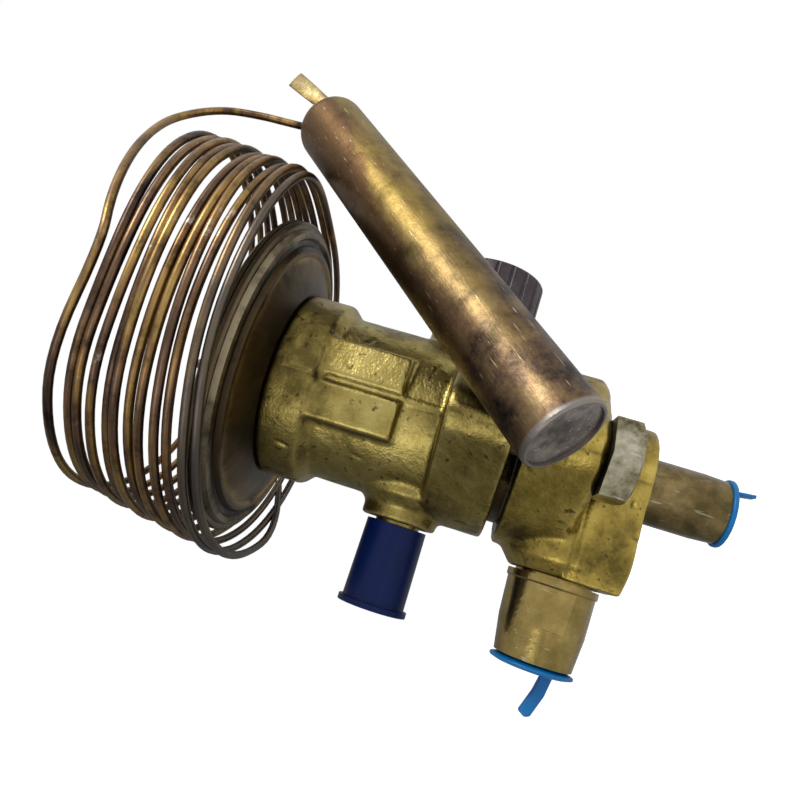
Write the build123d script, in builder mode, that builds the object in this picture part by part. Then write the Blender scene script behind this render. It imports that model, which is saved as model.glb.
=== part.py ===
"""Thermostatic refrigerant expansion valve: head, forged power body, cage, angle body and bulb.

Frame: the valve's axis is Z, pointing from the inlet to the head. The outlet and the equalizer
point along +X, the superheat stem along -X, and the flange bolts stand in the YZ plane. The
origin is on the axis, at the tube stop inside the inlet socket. All lengths are in millimetres.
"""
import os
from math import cos, pi, radians, sin, sqrt, tan

from build123d import *

os.makedirs("parts", exist_ok=True)

# ---- fits and clearances -------------------------------------------------------------------
RUNNING = 0.08  # radial gap of a shaft that turns or slides in its hole
BRAZE_GAP = 0.05  # radial gap of two parts brazed or pressed together
SOFT_GAP = 0.3  # gap round soft seals and springs
THREAD_GAP = 0.1  # radial gap of a screw thread drawn plain

# ---- sockets for the pipes -----------------------------------------------------------------
INLET_BORE_R = 6.4  # takes a 1/2 in tube
INLET_SEAT = 6.0  # length of the bore that holds the tube
OUTLET_BORE_R = 7.98  # takes a 5/8 in tube
OUTLET_SEAT = 6.5
LEAD_IN = 4.0  # wider mouth of each socket, where the shipping plug sits
LEAD_IN_GAP = 0.5  # how much wider the mouth is than the bore

# ---- lower body ----------------------------------------------------------------------------
OUTLET_Z = 23.4  # height of the outlet's axis
INLET_BOSS_END = 9.4
INLET_BOSS_R = 14.3
FLANGE_BOTTOM = 23.4
FLANGE_THICK = 16.6
FLANGE_R = 23.0  # middle of the two-bolt flange
LOBE_R = 7.8  # ends of the flange, round the bolts
BOLT_SPACING = 47.0
OUTLET_BOSS_R = 14.0
OUTLET_BOSS_END = 26.7
OUTLET_BOSS_CONE = 3.5  # length of the cone on the outlet boss
WEB_HALF = 12.6  # half thickness of the elbow web, across Y
CAGE_BORE_R = 12.0
CAGE_LEDGE = 14.6  # where the cage's foot seats
INLET_PASSAGE_R = 5.8
OUTLET_PASSAGE_R = 6.8
CONNECTOR_INSERT = 3.6  # how far each connector enters its boss

# ---- connectors ----------------------------------------------------------------------------
INLET_TUBE_R = 8.05
INLET_MOUTH_R = 7.7
INLET_TAPER = 5.5
OUTLET_TUBE_R = 10.5
OUTLET_MOUTH_R = 9.2
OUTLET_RING_R = 10.9
OUTLET_TAPER = 8.0
OUTLET_STOP = 35.6  # X of the tube stop inside the outlet
OUTLET_FLAT = 9.5  # distance of the milled flats from the outlet's axis
OUTLET_FLAT_END = 38.4

# ---- bolts ---------------------------------------------------------------------------------
BOLT_R = 5.0
BOLT_HOLE_R = 5.4
BOLT_HEAD_AF = 17.0
BOLT_HEAD_H = 6.4
HEAD_RELIEF = 0.3  # gap round the corners of a bolt's head where it stands close to the boss

# ---- cage ----------------------------------------------------------------------------------
GASKET_THICK = 0.4
CAGE_FLANGE_R = 18.5
CAGE_FLANGE_THICK = 2.0
CAGE_FLAT_HALF = 15.6  # half width across the flats that clear the bolts
CAGE_ROOM_R = 8.6
CAGE_ROOM_BOTTOM = 20.0
CAGE_ROOM_TOP = 34.0
CAGE_WINDOW_W = 7.0
CAGE_WINDOW_H = 10.0
CAGE_NOSE_R = 4.8
CAGE_NOSE_BORE_R = 3.7
CAGE_NOSE_END = 2.6
SEAT_RING_R = 5.4
SEAT_RING_THICK = 3.0
PORT_R = 1.9
NEEDLE_PIN_R = 1.0
NEEDLE_HEAD_R = 3.0
NEEDLE_CONE = 3.0
NEEDLE_COLLAR = 1.6
RETAINER_THICK = 1.4
CAGE_SPRING_WIRE = 0.9
STROKE = 1.0  # travel of the needle

# ---- power body ----------------------------------------------------------------------------
POWER_FLANGE_THICK = 15.8
NECK_R = 21.0
COLLAR_R = 23.7
BODY_TOP = 99.7
COLLAR_HEIGHT = 10.0
SHOULDER = 2.7  # height of the slope from neck to collar
PAD_HALF = 10.0  # half width of the pair of wrench pads
PAD_BOTTOM = 68.7
PAD_TOP = 88.6
PAD_INNER_Y = 22.8
PAD_OUTER_Y = 21.4
SEAM_W = 0.9  # forging line along the body
SEAM_PROUD = 0.45
ROOM_R = 12.4  # room of the superheat spring and its gear
ROOM_BOTTOM = 51.4
HEAD_ROOM_R = 17.5
HEAD_ROOM_DEPTH = 7.7
EQUALIZER_Z = 62.9
EQUALIZER_BOSS_R = 9.3
EQUALIZER_BOSS_END = 25.6
EQUALIZER_FLARE = 3.0
EQUALIZER_HOLE_R = 1.6
STEM_Z = 57.2
STEM_BOSS_R = 12.0
STEM_BOSS_END = 27.0

# ---- equalizer fitting ---------------------------------------------------------------------
EQUALIZER_THREAD_R = 5.5  # 7/16 in flare thread, drawn plain
EQUALIZER_STUB_END = 39.0
EQUALIZER_SOCKET_R = 6.6
EQUALIZER_SOCKET_DEPTH = 6.0
EQ_CAP_R = 7.45
EQ_CAP_START = 26.3
EQ_CAP_END = 46.7
EQ_CAP_LIP_R = 8.5
EQ_CAP_LIP = 1.3
EQ_CAP_TRAVEL = 16.0

# ---- superheat adjustment ------------------------------------------------------------------
STEM_R = 3.0
STEM_SQUARE = 4.6
STEM_END = 40.4  # distance of the square end from the valve's axis
PINION_TEETH = 8
CROWN_TEETH = 24
PINION_R = 3.7  # tip radius
PINION_ROOT_R = 2.7
PINION_INNER = 8.6  # nearest and furthest ends of the pinion from the axis
PINION_OUTER = 11.6
TOOTH_ENGAGE = 0.75
TOOTH_SHARE = 0.22  # share of a tooth pitch that a tooth fills
CROWN_R = 11.4
CROWN_THICK = 1.8
CROWN_TOOTH_H = 1.3
HUB_R = 4.6  # threaded hub of the crown gear
HUB_FOOT_R = 4.2
HUB_TOP = 80.0
ROD_HOLE_R = 2.3
SPRING_SEAT_R = 11.2
SPRING_SEAT_THICK = 2.6
SPRING_SEAT_BOTTOM = 66.4
KEY_W = 3.0
KEY_PROUD = 1.6
SEAT_TRAVEL = 5.0
SPRING_WIRE = 2.2
SPRING_MEAN_R = 8.6
THREAD_BORE_R = 9.6  # outside of the spigot that the seal cap screws on
GLAND_R = 6.2
GLAND_BOTTOM = 29.6
GLAND_HEAD_AF = 12.6
GLAND_HEAD = 2.4
SPIGOT_END = 36.0
PACKING = 2.4
CAP_R = 12.5
CAP_END = 42.9
CAP_ROOF = 1.8
CAP_GASKET_THICK = 0.8
CAP_RIBS = 20
CAP_GROOVE_R = 0.7
CAP_TRAVEL = 9.0

# ---- head ----------------------------------------------------------------------------------
HEAD_R = 40.9
RIM_RISE = 6.7  # from the body's top to the seam between the two shells
RIM_THICK = 1.5
SHELL = 1.5
JUNCTION_R = 24.2
RIM_BAND = 8.1  # width of the beads and the rim outside the conical face
FACE_RISE = 3.2  # from the body's top to the outer end of the conical face
DOME_IN = 16.9  # from the rim to the flat of the dome
DOME_RISE = 7.0
DIAPHRAGM_THICK = 0.3
PLATE_R = 27.0
PLATE_THICK = 1.6
PLATE_HUB_R = 11.0
PLATE_HUB_DEPTH = 4.1  # how far the plate's hub stands below the body's top
ROD_R = 2.0
NIPPLE_R = 4.0
NIPPLE_H = 4.5

# ---- bulb and capillary --------------------------------------------------------------------
BULB_R = 9.15
BULB_WALL = 0.9
BULB_NEAR = Vector(3.2, 47.1, 34.9)  # centre of the crimped end
BULB_FAR = Vector(-68.6, 8.2, 110.9)  # where the far shoulder starts
BULB_SHOULDER = 4.2
BULB_CAP_THICK = 1.6
BULB_RECESS = 0.7
BULB_CRIMP = 1.5
CAPILLARY_R = 1.0
BULB_TUBE_OFFSET = 3.6
ENTRY_DIR = Vector(0.1, 0.15, 0.98)  # the capillary leaves the bulb this way
STUB_R = 1.7
STUB_LENGTH = 16.0
STUB_DIR = Vector(-0.42, 0.06, 0.9)  # the stub is bent up towards this
STUB_PINCH = 0.5  # half thickness of the pinched end
COIL_R = 49.4  # mean radius of a turn
COIL_WALL = 2.6
COIL_TRIM = 15.0  # spare length cut off both ends of the ring
COIL_X = -3.0  # the coil's middle at its end nearest the body
COIL_BASE_Z = 102.0
COIL_LEAN = 5.0  # the coil leans this far towards the stem side
COIL_RISE = 36.0  # over this height
COIL_FRONT_TOP = 133.5
COIL_BACK_TOP = 138.0
COIL_TOP = 141.5
COIL_LOW_STEM_SIDE = 110.4
COIL_LOW_EQUALIZER_SIDE = 99.6

# worked out from the sizes above
COLLAR_BOTTOM = BODY_TOP - COLLAR_HEIGHT
HEAD_ROOM_BOTTOM = BODY_TOP - HEAD_ROOM_DEPTH
PLATE_HUB_BOTTOM = BODY_TOP - PLATE_HUB_DEPTH
RIM_Z = BODY_TOP + RIM_RISE
FACE_Z = BODY_TOP + FACE_RISE
FACE_R = HEAD_R - RIM_BAND
DOME_R = HEAD_R - DOME_IN
DOME_Z = RIM_Z + DOME_RISE
FLANGE_TOP = FLANGE_BOTTOM + FLANGE_THICK
CAGE_FLANGE_BOTTOM = FLANGE_TOP + GASKET_THICK
CAGE_TOP = CAGE_FLANGE_BOTTOM + CAGE_FLANGE_THICK
POWER_BOTTOM = CAGE_TOP + GASKET_THICK
POWER_FLANGE_TOP = POWER_BOTTOM + POWER_FLANGE_THICK
BOLT_Y = BOLT_SPACING / 2
CAGE_FOOT = CAGE_LEDGE + GASKET_THICK
SEAT_RING_BOTTOM = CAGE_ROOM_BOTTOM - SEAT_RING_THICK
NEEDLE_TIP_Z = SEAT_RING_BOTTOM + NEEDLE_CONE * PORT_R / NEEDLE_HEAD_R - 0.05
NEEDLE_FOOT_Z = NEEDLE_TIP_Z - NEEDLE_CONE - NEEDLE_COLLAR
NEEDLE_TOP = 29.0
INLET_MOUTH = -(INLET_SEAT + LEAD_IN)
OUTLET_MOUTH = OUTLET_STOP + OUTLET_SEAT + LEAD_IN
PINION_TOP = STEM_Z + PINION_R
CROWN_TOOTH_TIP = PINION_TOP - TOOTH_ENGAGE
CROWN_BOTTOM = CROWN_TOOTH_TIP + CROWN_TOOTH_H
CROWN_TOP = CROWN_BOTTOM + CROWN_THICK
SPRING_SEAT_TOP = SPRING_SEAT_BOTTOM + SPRING_SEAT_THICK


def axis_plane(x, z):
    """Plane across an axis along X, at distance x from the valve's axis and height z."""
    return Plane(origin=(x, 0, z), x_dir=(0, 1, 0), z_dir=(1, 0, 0))


def save(part, name):
    part.label = name
    export_step(part, f"parts/{name}.step")


def two_bolt_outline():
    """Outline of a flange with two lobes, drawn in the current sketch."""
    Circle(FLANGE_R)
    with Locations((0, BOLT_Y), (0, -BOLT_Y)):
        Circle(LOBE_R)
    make_hull()


def turned(points, axis=Axis.Z):
    """Turned shape: points are the closed profile in the XZ plane."""
    with BuildSketch(Plane.XZ) as profile:
        with BuildLine():
            Polyline(*points, close=True)
        make_face()
    revolve(profile.sketch, axis=axis)


def ring_section(bottom, outer, inner):
    """Section of a plain ring round the valve's axis, at height bottom."""
    with BuildSketch(Plane.XY.offset(bottom)) as section:
        Circle(outer)
        Circle(inner, mode=Mode.SUBTRACT)
    return section.sketch


def coil_spring(bottom, top, mean_r, wire, turns):
    """Helical spring whose wire touches bottom and top with its end turns."""
    height = top - bottom - wire - 0.1
    start = bottom + wire / 2 + 0.05
    with BuildLine() as centre_line:
        Helix(pitch=height / turns, height=height, radius=mean_r, center=(0, 0, start))
    path = centre_line.line
    with BuildSketch(Plane(origin=path @ 0, z_dir=path % 0)) as wire_section:
        Circle(wire / 2)
    sweep(wire_section.sketch, path=path, is_frenet=True)


# ---- lower body: angle forging with the pipe bosses and the lower flange --------------------
BOSS_END_R = OUTLET_RING_R + 0.2
with BuildPart() as lower_body:
    with BuildSketch(Plane.XY.offset(FLANGE_BOTTOM)):
        two_bolt_outline()
    extrude(amount=FLANGE_THICK)
    flange_edges = lower_body.faces().sort_by(Axis.Z)[0].edges()
    chamfer(flange_edges, length=1.6)
    with BuildSketch(Plane.XY.offset(INLET_BOSS_END)):
        Circle(INLET_BOSS_R)
    extrude(amount=FLANGE_TOP - INLET_BOSS_END - 1)
    # elbow web that joins the inlet boss to the outlet boss
    with BuildSketch(Plane.XY.offset(OUTLET_Z - OUTLET_BOSS_R)):
        with Locations((OUTLET_BOSS_END / 2, 0)):
            Rectangle(OUTLET_BOSS_END, 2 * WEB_HALF)
    extrude(amount=OUTLET_BOSS_R)
    with BuildSketch(Plane.XZ):
        with BuildLine():
            Polyline(
                (0, OUTLET_Z),
                (0, OUTLET_Z + OUTLET_BOSS_R),
                (OUTLET_BOSS_END - OUTLET_BOSS_CONE, OUTLET_Z + OUTLET_BOSS_R),
                (OUTLET_BOSS_END, OUTLET_Z + BOSS_END_R),
                (OUTLET_BOSS_END, OUTLET_Z),
                close=True,
            )
        make_face()
    revolve(axis=Axis((0, 0, OUTLET_Z), (1, 0, 0)))
    # cage bore, inlet passage and the two brazed sockets
    with BuildSketch(Plane.XY.offset(CAGE_LEDGE)):
        Circle(CAGE_BORE_R)
    extrude(amount=FLANGE_TOP - CAGE_LEDGE, mode=Mode.SUBTRACT)
    with BuildSketch(Plane.XY.offset(INLET_BOSS_END)):
        Circle(INLET_PASSAGE_R)
    extrude(amount=CAGE_LEDGE - INLET_BOSS_END, both=True, mode=Mode.SUBTRACT)
    with BuildSketch(Plane.XY.offset(INLET_BOSS_END)):
        Circle(INLET_TUBE_R + BRAZE_GAP)
    extrude(amount=CONNECTOR_INSERT, mode=Mode.SUBTRACT)
    with BuildSketch(axis_plane(0, OUTLET_Z)):
        Circle(OUTLET_PASSAGE_R)
    extrude(amount=OUTLET_BOSS_END, mode=Mode.SUBTRACT)
    with BuildSketch(axis_plane(OUTLET_BOSS_END, OUTLET_Z)):
        Circle(OUTLET_BORE_R + 1.2 + BRAZE_GAP)
    extrude(amount=-CONNECTOR_INSERT, mode=Mode.SUBTRACT)
    with BuildSketch(Plane.XY.offset(FLANGE_BOTTOM)):
        with Locations((0, BOLT_Y), (0, -BOLT_Y)):
            Circle(BOLT_HOLE_R)
    extrude(amount=FLANGE_THICK, mode=Mode.SUBTRACT)
    # shallow pockets in the boss for the corners of the bolt heads
    with BuildSketch(Plane.XY.offset(FLANGE_BOTTOM)):
        with Locations((0, BOLT_Y), (0, -BOLT_Y)):
            Circle(BOLT_HEAD_AF / 2 / cos(radians(30)) + HEAD_RELIEF)
    extrude(amount=-BOLT_HEAD_H - 1, mode=Mode.SUBTRACT)
save(lower_body.part, "lower_body")

# ---- inlet connector: turned brass tube with a socket for the pipe --------------------------
with BuildPart() as inlet_connector:
    turned([
        (INLET_PASSAGE_R, 0),
        (INLET_PASSAGE_R, INLET_BOSS_END + CONNECTOR_INSERT),
        (INLET_TUBE_R, INLET_BOSS_END + CONNECTOR_INSERT),
        (INLET_TUBE_R, INLET_MOUTH + INLET_TAPER),
        (INLET_MOUTH_R, INLET_MOUTH),
        (INLET_BORE_R + LEAD_IN_GAP, INLET_MOUTH),
        (INLET_BORE_R + LEAD_IN_GAP, INLET_MOUTH + LEAD_IN),
        (INLET_BORE_R, INLET_MOUTH + LEAD_IN),
        (INLET_BORE_R, 0),
    ])
save(inlet_connector.part, "inlet_connector")

# ---- outlet connector: ring, milled flats and a tapered mouth -------------------------------
OUTLET_INSERT_R = OUTLET_BORE_R + 1.2
OUTLET_RING_END = OUTLET_BOSS_END + 2.0
with BuildPart() as outlet_connector:
    turned(
        [
            (OUTLET_BOSS_END - CONNECTOR_INSERT, OUTLET_Z + OUTLET_PASSAGE_R),
            (OUTLET_BOSS_END - CONNECTOR_INSERT, OUTLET_Z + OUTLET_INSERT_R),
            (OUTLET_BOSS_END + 0.5, OUTLET_Z + OUTLET_INSERT_R),
            (OUTLET_BOSS_END + 0.5, OUTLET_Z + OUTLET_RING_R),
            (OUTLET_RING_END, OUTLET_Z + OUTLET_RING_R),
            (OUTLET_RING_END + 0.4, OUTLET_Z + OUTLET_TUBE_R),
            (OUTLET_MOUTH - OUTLET_TAPER, OUTLET_Z + OUTLET_TUBE_R - 0.3),
            (OUTLET_MOUTH, OUTLET_Z + OUTLET_MOUTH_R),
            (OUTLET_MOUTH, OUTLET_Z + OUTLET_BORE_R + LEAD_IN_GAP),
            (OUTLET_MOUTH - LEAD_IN, OUTLET_Z + OUTLET_BORE_R + LEAD_IN_GAP),
            (OUTLET_MOUTH - LEAD_IN, OUTLET_Z + OUTLET_BORE_R),
            (OUTLET_STOP, OUTLET_Z + OUTLET_BORE_R),
            (OUTLET_STOP, OUTLET_Z + OUTLET_PASSAGE_R),
        ],
        axis=Axis((0, 0, OUTLET_Z), (1, 0, 0)),
    )
    flat_depth = OUTLET_TUBE_R
    with BuildSketch(axis_plane(OUTLET_RING_END + 0.4, OUTLET_Z)):
        with Locations((OUTLET_FLAT + flat_depth / 2, 0), (-OUTLET_FLAT - flat_depth / 2, 0)):
            Rectangle(flat_depth, 2 * OUTLET_TUBE_R)
    extrude(amount=OUTLET_FLAT_END - OUTLET_RING_END - 0.4, mode=Mode.SUBTRACT)
save(outlet_connector.part, "outlet_connector")

# ---- cage: flange, barrel with windows, and the nose that holds the needle's spring ---------
with BuildPart() as cage_body:
    with BuildSketch(Plane.XY.offset(CAGE_FLANGE_BOTTOM)):
        Circle(CAGE_FLANGE_R)
        Rectangle(2 * CAGE_FLANGE_R, 2 * CAGE_FLAT_HALF, mode=Mode.INTERSECT)
    extrude(amount=CAGE_FLANGE_THICK)
    turned([
        (0, CAGE_NOSE_END),
        (CAGE_NOSE_R, CAGE_NOSE_END),
        (CAGE_NOSE_R, CAGE_FOOT),
        (CAGE_BORE_R - RUNNING, CAGE_FOOT),
        (CAGE_BORE_R - RUNNING, CAGE_FLANGE_BOTTOM + 0.5),
        (0, CAGE_FLANGE_BOTTOM + 0.5),
    ])
    with BuildSketch(Plane.XY.offset(CAGE_ROOM_BOTTOM)):
        Circle(CAGE_ROOM_R)
    extrude(amount=CAGE_ROOM_TOP - CAGE_ROOM_BOTTOM, mode=Mode.SUBTRACT)
    with BuildSketch(Plane.XY.offset(SEAT_RING_BOTTOM)):
        Circle(SEAT_RING_R + BRAZE_GAP)
    extrude(amount=SEAT_RING_THICK, mode=Mode.SUBTRACT)
    with BuildSketch(Plane.XY.offset(CAGE_NOSE_END)):
        Circle(CAGE_NOSE_BORE_R)
    extrude(amount=SEAT_RING_BOTTOM - CAGE_NOSE_END, mode=Mode.SUBTRACT)
    with BuildSketch(Plane.XY.offset(CAGE_ROOM_TOP)):
        Circle(ROD_R + RUNNING)
    extrude(amount=CAGE_TOP - CAGE_ROOM_TOP, mode=Mode.SUBTRACT)
    for turn in range(4):
        side = Plane(origin=(0, 0, 0), x_dir=(-sin(turn * pi / 2), cos(turn * pi / 2), 0),
                     z_dir=(cos(turn * pi / 2), sin(turn * pi / 2), 0))
        with BuildSketch(side.offset(CAGE_ROOM_R - 1)):
            with Locations((0, CAGE_ROOM_BOTTOM + 1 + CAGE_WINDOW_H / 2)):
                SlotOverall(CAGE_WINDOW_H, CAGE_WINDOW_W, rotation=90)
        extrude(amount=CAGE_BORE_R, mode=Mode.SUBTRACT)
        with BuildSketch(side.offset(CAGE_NOSE_BORE_R - 1)):
            with Locations((0, CAGE_FOOT - 4)):
                Rectangle(2.4, 5)
        extrude(amount=CAGE_NOSE_R, mode=Mode.SUBTRACT)
save(cage_body.part, "cage_body")

# ---- gaskets under and over the cage's flange, and under its foot ---------------------------
for gasket_name, gasket_bottom in (("lower_gasket", FLANGE_TOP), ("upper_gasket", CAGE_TOP)):
    with BuildPart() as flange_gasket:
        with BuildSketch(Plane.XY.offset(gasket_bottom)):
            Circle(CAGE_FLANGE_R - 0.4)
            Rectangle(2 * CAGE_FLANGE_R, 2 * CAGE_FLAT_HALF - 0.8, mode=Mode.INTERSECT)
            Circle(CAGE_BORE_R + SOFT_GAP, mode=Mode.SUBTRACT)
        extrude(amount=GASKET_THICK)
    save(flange_gasket.part, gasket_name)

with BuildPart() as seat_gasket:
    extrude(ring_section(CAGE_LEDGE, CAGE_BORE_R - SOFT_GAP, INLET_PASSAGE_R + 1.2), amount=GASKET_THICK)
save(seat_gasket.part, "seat_gasket")

# ---- seat ring, needle, its spring and the spring's retainer --------------------------------
with BuildPart() as seat_ring:
    turned([
        (PORT_R, SEAT_RING_BOTTOM + 0.6),
        (PORT_R, CAGE_ROOM_BOTTOM),
        (SEAT_RING_R, CAGE_ROOM_BOTTOM),
        (SEAT_RING_R, SEAT_RING_BOTTOM),
        (PORT_R + 0.5, SEAT_RING_BOTTOM),
    ])
save(seat_ring.part, "seat_ring")

with BuildPart() as valve_needle:
    turned([
        (0, NEEDLE_FOOT_Z - 2.0),
        (1.6, NEEDLE_FOOT_Z - 2.0),
        (1.6, NEEDLE_FOOT_Z),
        (NEEDLE_HEAD_R, NEEDLE_FOOT_Z),
        (NEEDLE_HEAD_R, NEEDLE_FOOT_Z + NEEDLE_COLLAR),
        (NEEDLE_PIN_R, NEEDLE_FOOT_Z + NEEDLE_COLLAR + NEEDLE_CONE * (1 - NEEDLE_PIN_R / NEEDLE_HEAD_R)),
        (NEEDLE_PIN_R, NEEDLE_TOP),
        (0, NEEDLE_TOP),
    ])
save(valve_needle.part, "valve_needle")

RETAINER_BOTTOM = CAGE_NOSE_END + 0.8
RETAINER_TOP = RETAINER_BOTTOM + RETAINER_THICK
with BuildPart() as spring_retainer:
    extrude(ring_section(RETAINER_BOTTOM, CAGE_NOSE_BORE_R - BRAZE_GAP, 1.2), amount=RETAINER_THICK)
save(spring_retainer.part, "spring_retainer")

with BuildPart() as cage_spring:
    coil_spring(RETAINER_TOP, NEEDLE_FOOT_Z, 2.45, CAGE_SPRING_WIRE, 5)
save(cage_spring.part, "cage_spring")

# ---- power body: forging with the upper flange, the neck, the collar and two side bosses ----
with BuildPart() as power_body:
    with BuildSketch(Plane.XY.offset(POWER_BOTTOM)):
        two_bolt_outline()
    extrude(amount=POWER_FLANGE_THICK)
    flange_top_edges = power_body.faces().sort_by(Axis.Z)[-1].edges()
    fillet(flange_top_edges, radius=1.6)
    turned([
        (0, POWER_BOTTOM),
        (NECK_R, POWER_BOTTOM),
        (NECK_R, COLLAR_BOTTOM - SHOULDER),
        (COLLAR_R, COLLAR_BOTTOM),
        (COLLAR_R, BODY_TOP - 0.6),
        (COLLAR_R - 0.6, BODY_TOP),
        (0, BODY_TOP),
    ])
    # wrench pads, in pairs on the front and the back
    with BuildSketch(Plane.XY.offset(PAD_BOTTOM)):
        for side in (1, -1):
            for face in (1, -1):
                with BuildLine():
                    Polyline(
                        (side * SEAM_W, face * NECK_R / 2),
                        (side * SEAM_W, face * PAD_INNER_Y),
                        (side * PAD_HALF, face * PAD_OUTER_Y),
                        (side * PAD_HALF, face * NECK_R / 2),
                        close=True,
                    )
                make_face()
    extrude(amount=PAD_TOP - PAD_BOTTOM)
    # forging seam along the front and back
    with BuildSketch(Plane.XY.offset(POWER_FLANGE_TOP - 2)):
        Rectangle(SEAM_W, 2 * (NECK_R + SEAM_PROUD))
    extrude(amount=COLLAR_BOTTOM - POWER_FLANGE_TOP)
    with BuildSketch(Plane.XY.offset(COLLAR_BOTTOM)):
        Rectangle(SEAM_W, 2 * (COLLAR_R + SEAM_PROUD))
    extrude(amount=BODY_TOP - COLLAR_BOTTOM - 1.2)
    with BuildSketch(Plane.XY.offset(POWER_BOTTOM + 0.8)):
        Rectangle(SEAM_W, 2 * (BOLT_Y + LOBE_R + SEAM_PROUD))
    extrude(amount=POWER_FLANGE_THICK - 3.2)
    # equalizer boss, flared where it leaves the neck
    with BuildSketch(Plane.XZ):
        with BuildLine():
            Polyline(
                (0, EQUALIZER_Z),
                (0, EQUALIZER_Z + EQUALIZER_BOSS_R + EQUALIZER_FLARE),
                (NECK_R - EQUALIZER_FLARE / 2, EQUALIZER_Z + EQUALIZER_BOSS_R + EQUALIZER_FLARE),
                (NECK_R + EQUALIZER_FLARE / 2, EQUALIZER_Z + EQUALIZER_BOSS_R),
                (EQUALIZER_BOSS_END, EQUALIZER_Z + EQUALIZER_BOSS_R),
                (EQUALIZER_BOSS_END, EQUALIZER_Z),
                close=True,
            )
        make_face()
    revolve(axis=Axis((0, 0, EQUALIZER_Z), (1, 0, 0)))
    # stem boss and the threaded spigot for the seal cap
    with BuildSketch(axis_plane(0, STEM_Z)):
        Circle(STEM_BOSS_R)
    extrude(amount=-STEM_BOSS_END)
    with BuildSketch(axis_plane(-STEM_BOSS_END, STEM_Z)):
        Circle(THREAD_BORE_R)
    extrude(amount=STEM_BOSS_END - SPIGOT_END)
    # room for the spring and gear, the head room and the keyway of the spring seat
    with BuildSketch(Plane.XY.offset(ROOM_BOTTOM)):
        Circle(ROOM_R)
    extrude(amount=BODY_TOP - ROOM_BOTTOM, mode=Mode.SUBTRACT)
    with BuildSketch(Plane.XY.offset(HEAD_ROOM_BOTTOM)):
        Circle(HEAD_ROOM_R)
    extrude(amount=BODY_TOP - HEAD_ROOM_BOTTOM, mode=Mode.SUBTRACT)
    key_reach = SPRING_SEAT_R + KEY_PROUD + SOFT_GAP
    keyway_bottom = SPRING_SEAT_BOTTOM - SEAT_TRAVEL / 2 - 0.6
    with BuildSketch(Plane.XY.offset(keyway_bottom)):
        with Locations((0, key_reach / 2)):
            Rectangle(KEY_W + 2 * RUNNING, key_reach)
    extrude(amount=BODY_TOP - keyway_bottom, mode=Mode.SUBTRACT)
    # rod hole with a counterbore for its seal
    with BuildSketch(Plane.XY.offset(POWER_BOTTOM)):
        Circle(ROD_R + RUNNING)
    extrude(amount=ROOM_BOTTOM - POWER_BOTTOM, mode=Mode.SUBTRACT)
    with BuildSketch(Plane.XY.offset(POWER_BOTTOM)):
        Circle(ROD_R + 2.4)
    extrude(amount=2.4, mode=Mode.SUBTRACT)
    # stem hole, gland bore, equalizer socket and its passage
    with BuildSketch(axis_plane(-PINION_OUTER + 1, STEM_Z)):
        Circle(STEM_R + RUNNING)
    extrude(amount=-SPIGOT_END, mode=Mode.SUBTRACT)
    with BuildSketch(axis_plane(-GLAND_BOTTOM, STEM_Z)):
        Circle(GLAND_R)
    extrude(amount=GLAND_BOTTOM - SPIGOT_END, mode=Mode.SUBTRACT)
    with BuildSketch(axis_plane(EQUALIZER_BOSS_END, EQUALIZER_Z)):
        Circle(EQUALIZER_SOCKET_R)
    extrude(amount=-EQUALIZER_SOCKET_DEPTH, mode=Mode.SUBTRACT)
    with BuildSketch(axis_plane(EQUALIZER_BOSS_END, EQUALIZER_Z)):
        Circle(EQUALIZER_HOLE_R)
    extrude(amount=-EQUALIZER_BOSS_END + ROOM_R / 2, mode=Mode.SUBTRACT)
    # blind tapped holes for the flange bolts
    with BuildSketch(Plane.XY.offset(POWER_BOTTOM)):
        with Locations((0, BOLT_Y), (0, -BOLT_Y)):
            Circle(BOLT_R + THREAD_GAP)
    extrude(amount=POWER_FLANGE_THICK - 3, mode=Mode.SUBTRACT)
save(power_body.part, "power_body")

# ---- flange bolts: two hexagon screws up through the lower flange ---------------------------
BOLT_TIP = POWER_BOTTOM + POWER_FLANGE_THICK - 4
with BuildPart() as flange_bolts:
    with BuildSketch(Plane.XY.offset(FLANGE_BOTTOM)):
        with Locations((0, BOLT_Y), (0, -BOLT_Y)):
            RegularPolygon(BOLT_HEAD_AF / 2, 6, major_radius=False, rotation=30)
    extrude(amount=-BOLT_HEAD_H)
    # chamfer that rounds the corners of each head
    for bolt_side in (1, -1):
        head_axis = Plane(origin=(0, bolt_side * BOLT_Y, 0), x_dir=(1, 0, 0), z_dir=(0, -1, 0))
        corner_r = BOLT_HEAD_AF / 2 / cos(radians(30))
        foot = FLANGE_BOTTOM - BOLT_HEAD_H
        with BuildSketch(head_axis):
            with BuildLine():
                Polyline(
                    (BOLT_HEAD_AF / 2 - 0.4, foot),
                    (corner_r + 1, foot + (corner_r + 1.4 - BOLT_HEAD_AF / 2) * tan(radians(30))),
                    (corner_r + 1, foot),
                    close=True,
                )
            make_face()
        revolve(axis=Axis((0, bolt_side * BOLT_Y, 0), (0, 0, 1)), mode=Mode.SUBTRACT)
    with BuildSketch(Plane.XY.offset(FLANGE_BOTTOM)):
        with Locations((0, BOLT_Y), (0, -BOLT_Y)):
            Circle(BOLT_R)
    extrude(amount=BOLT_TIP - FLANGE_BOTTOM)
save(flange_bolts.part, "flange_bolts")

# ---- push rod and its seal ------------------------------------------------------------------
with BuildPart() as push_rod:
    with BuildSketch(Plane.XY.offset(NEEDLE_TOP)):
        Circle(ROD_R)
    extrude(amount=PLATE_HUB_BOTTOM + 1.5 - NEEDLE_TOP)
save(push_rod.part, "push_rod")

with BuildPart() as rod_seal:
    extrude(ring_section(POWER_BOTTOM + 0.1, ROD_R + 2.3, ROD_R + RUNNING), amount=2.2)
save(rod_seal.part, "rod_seal")

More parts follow.
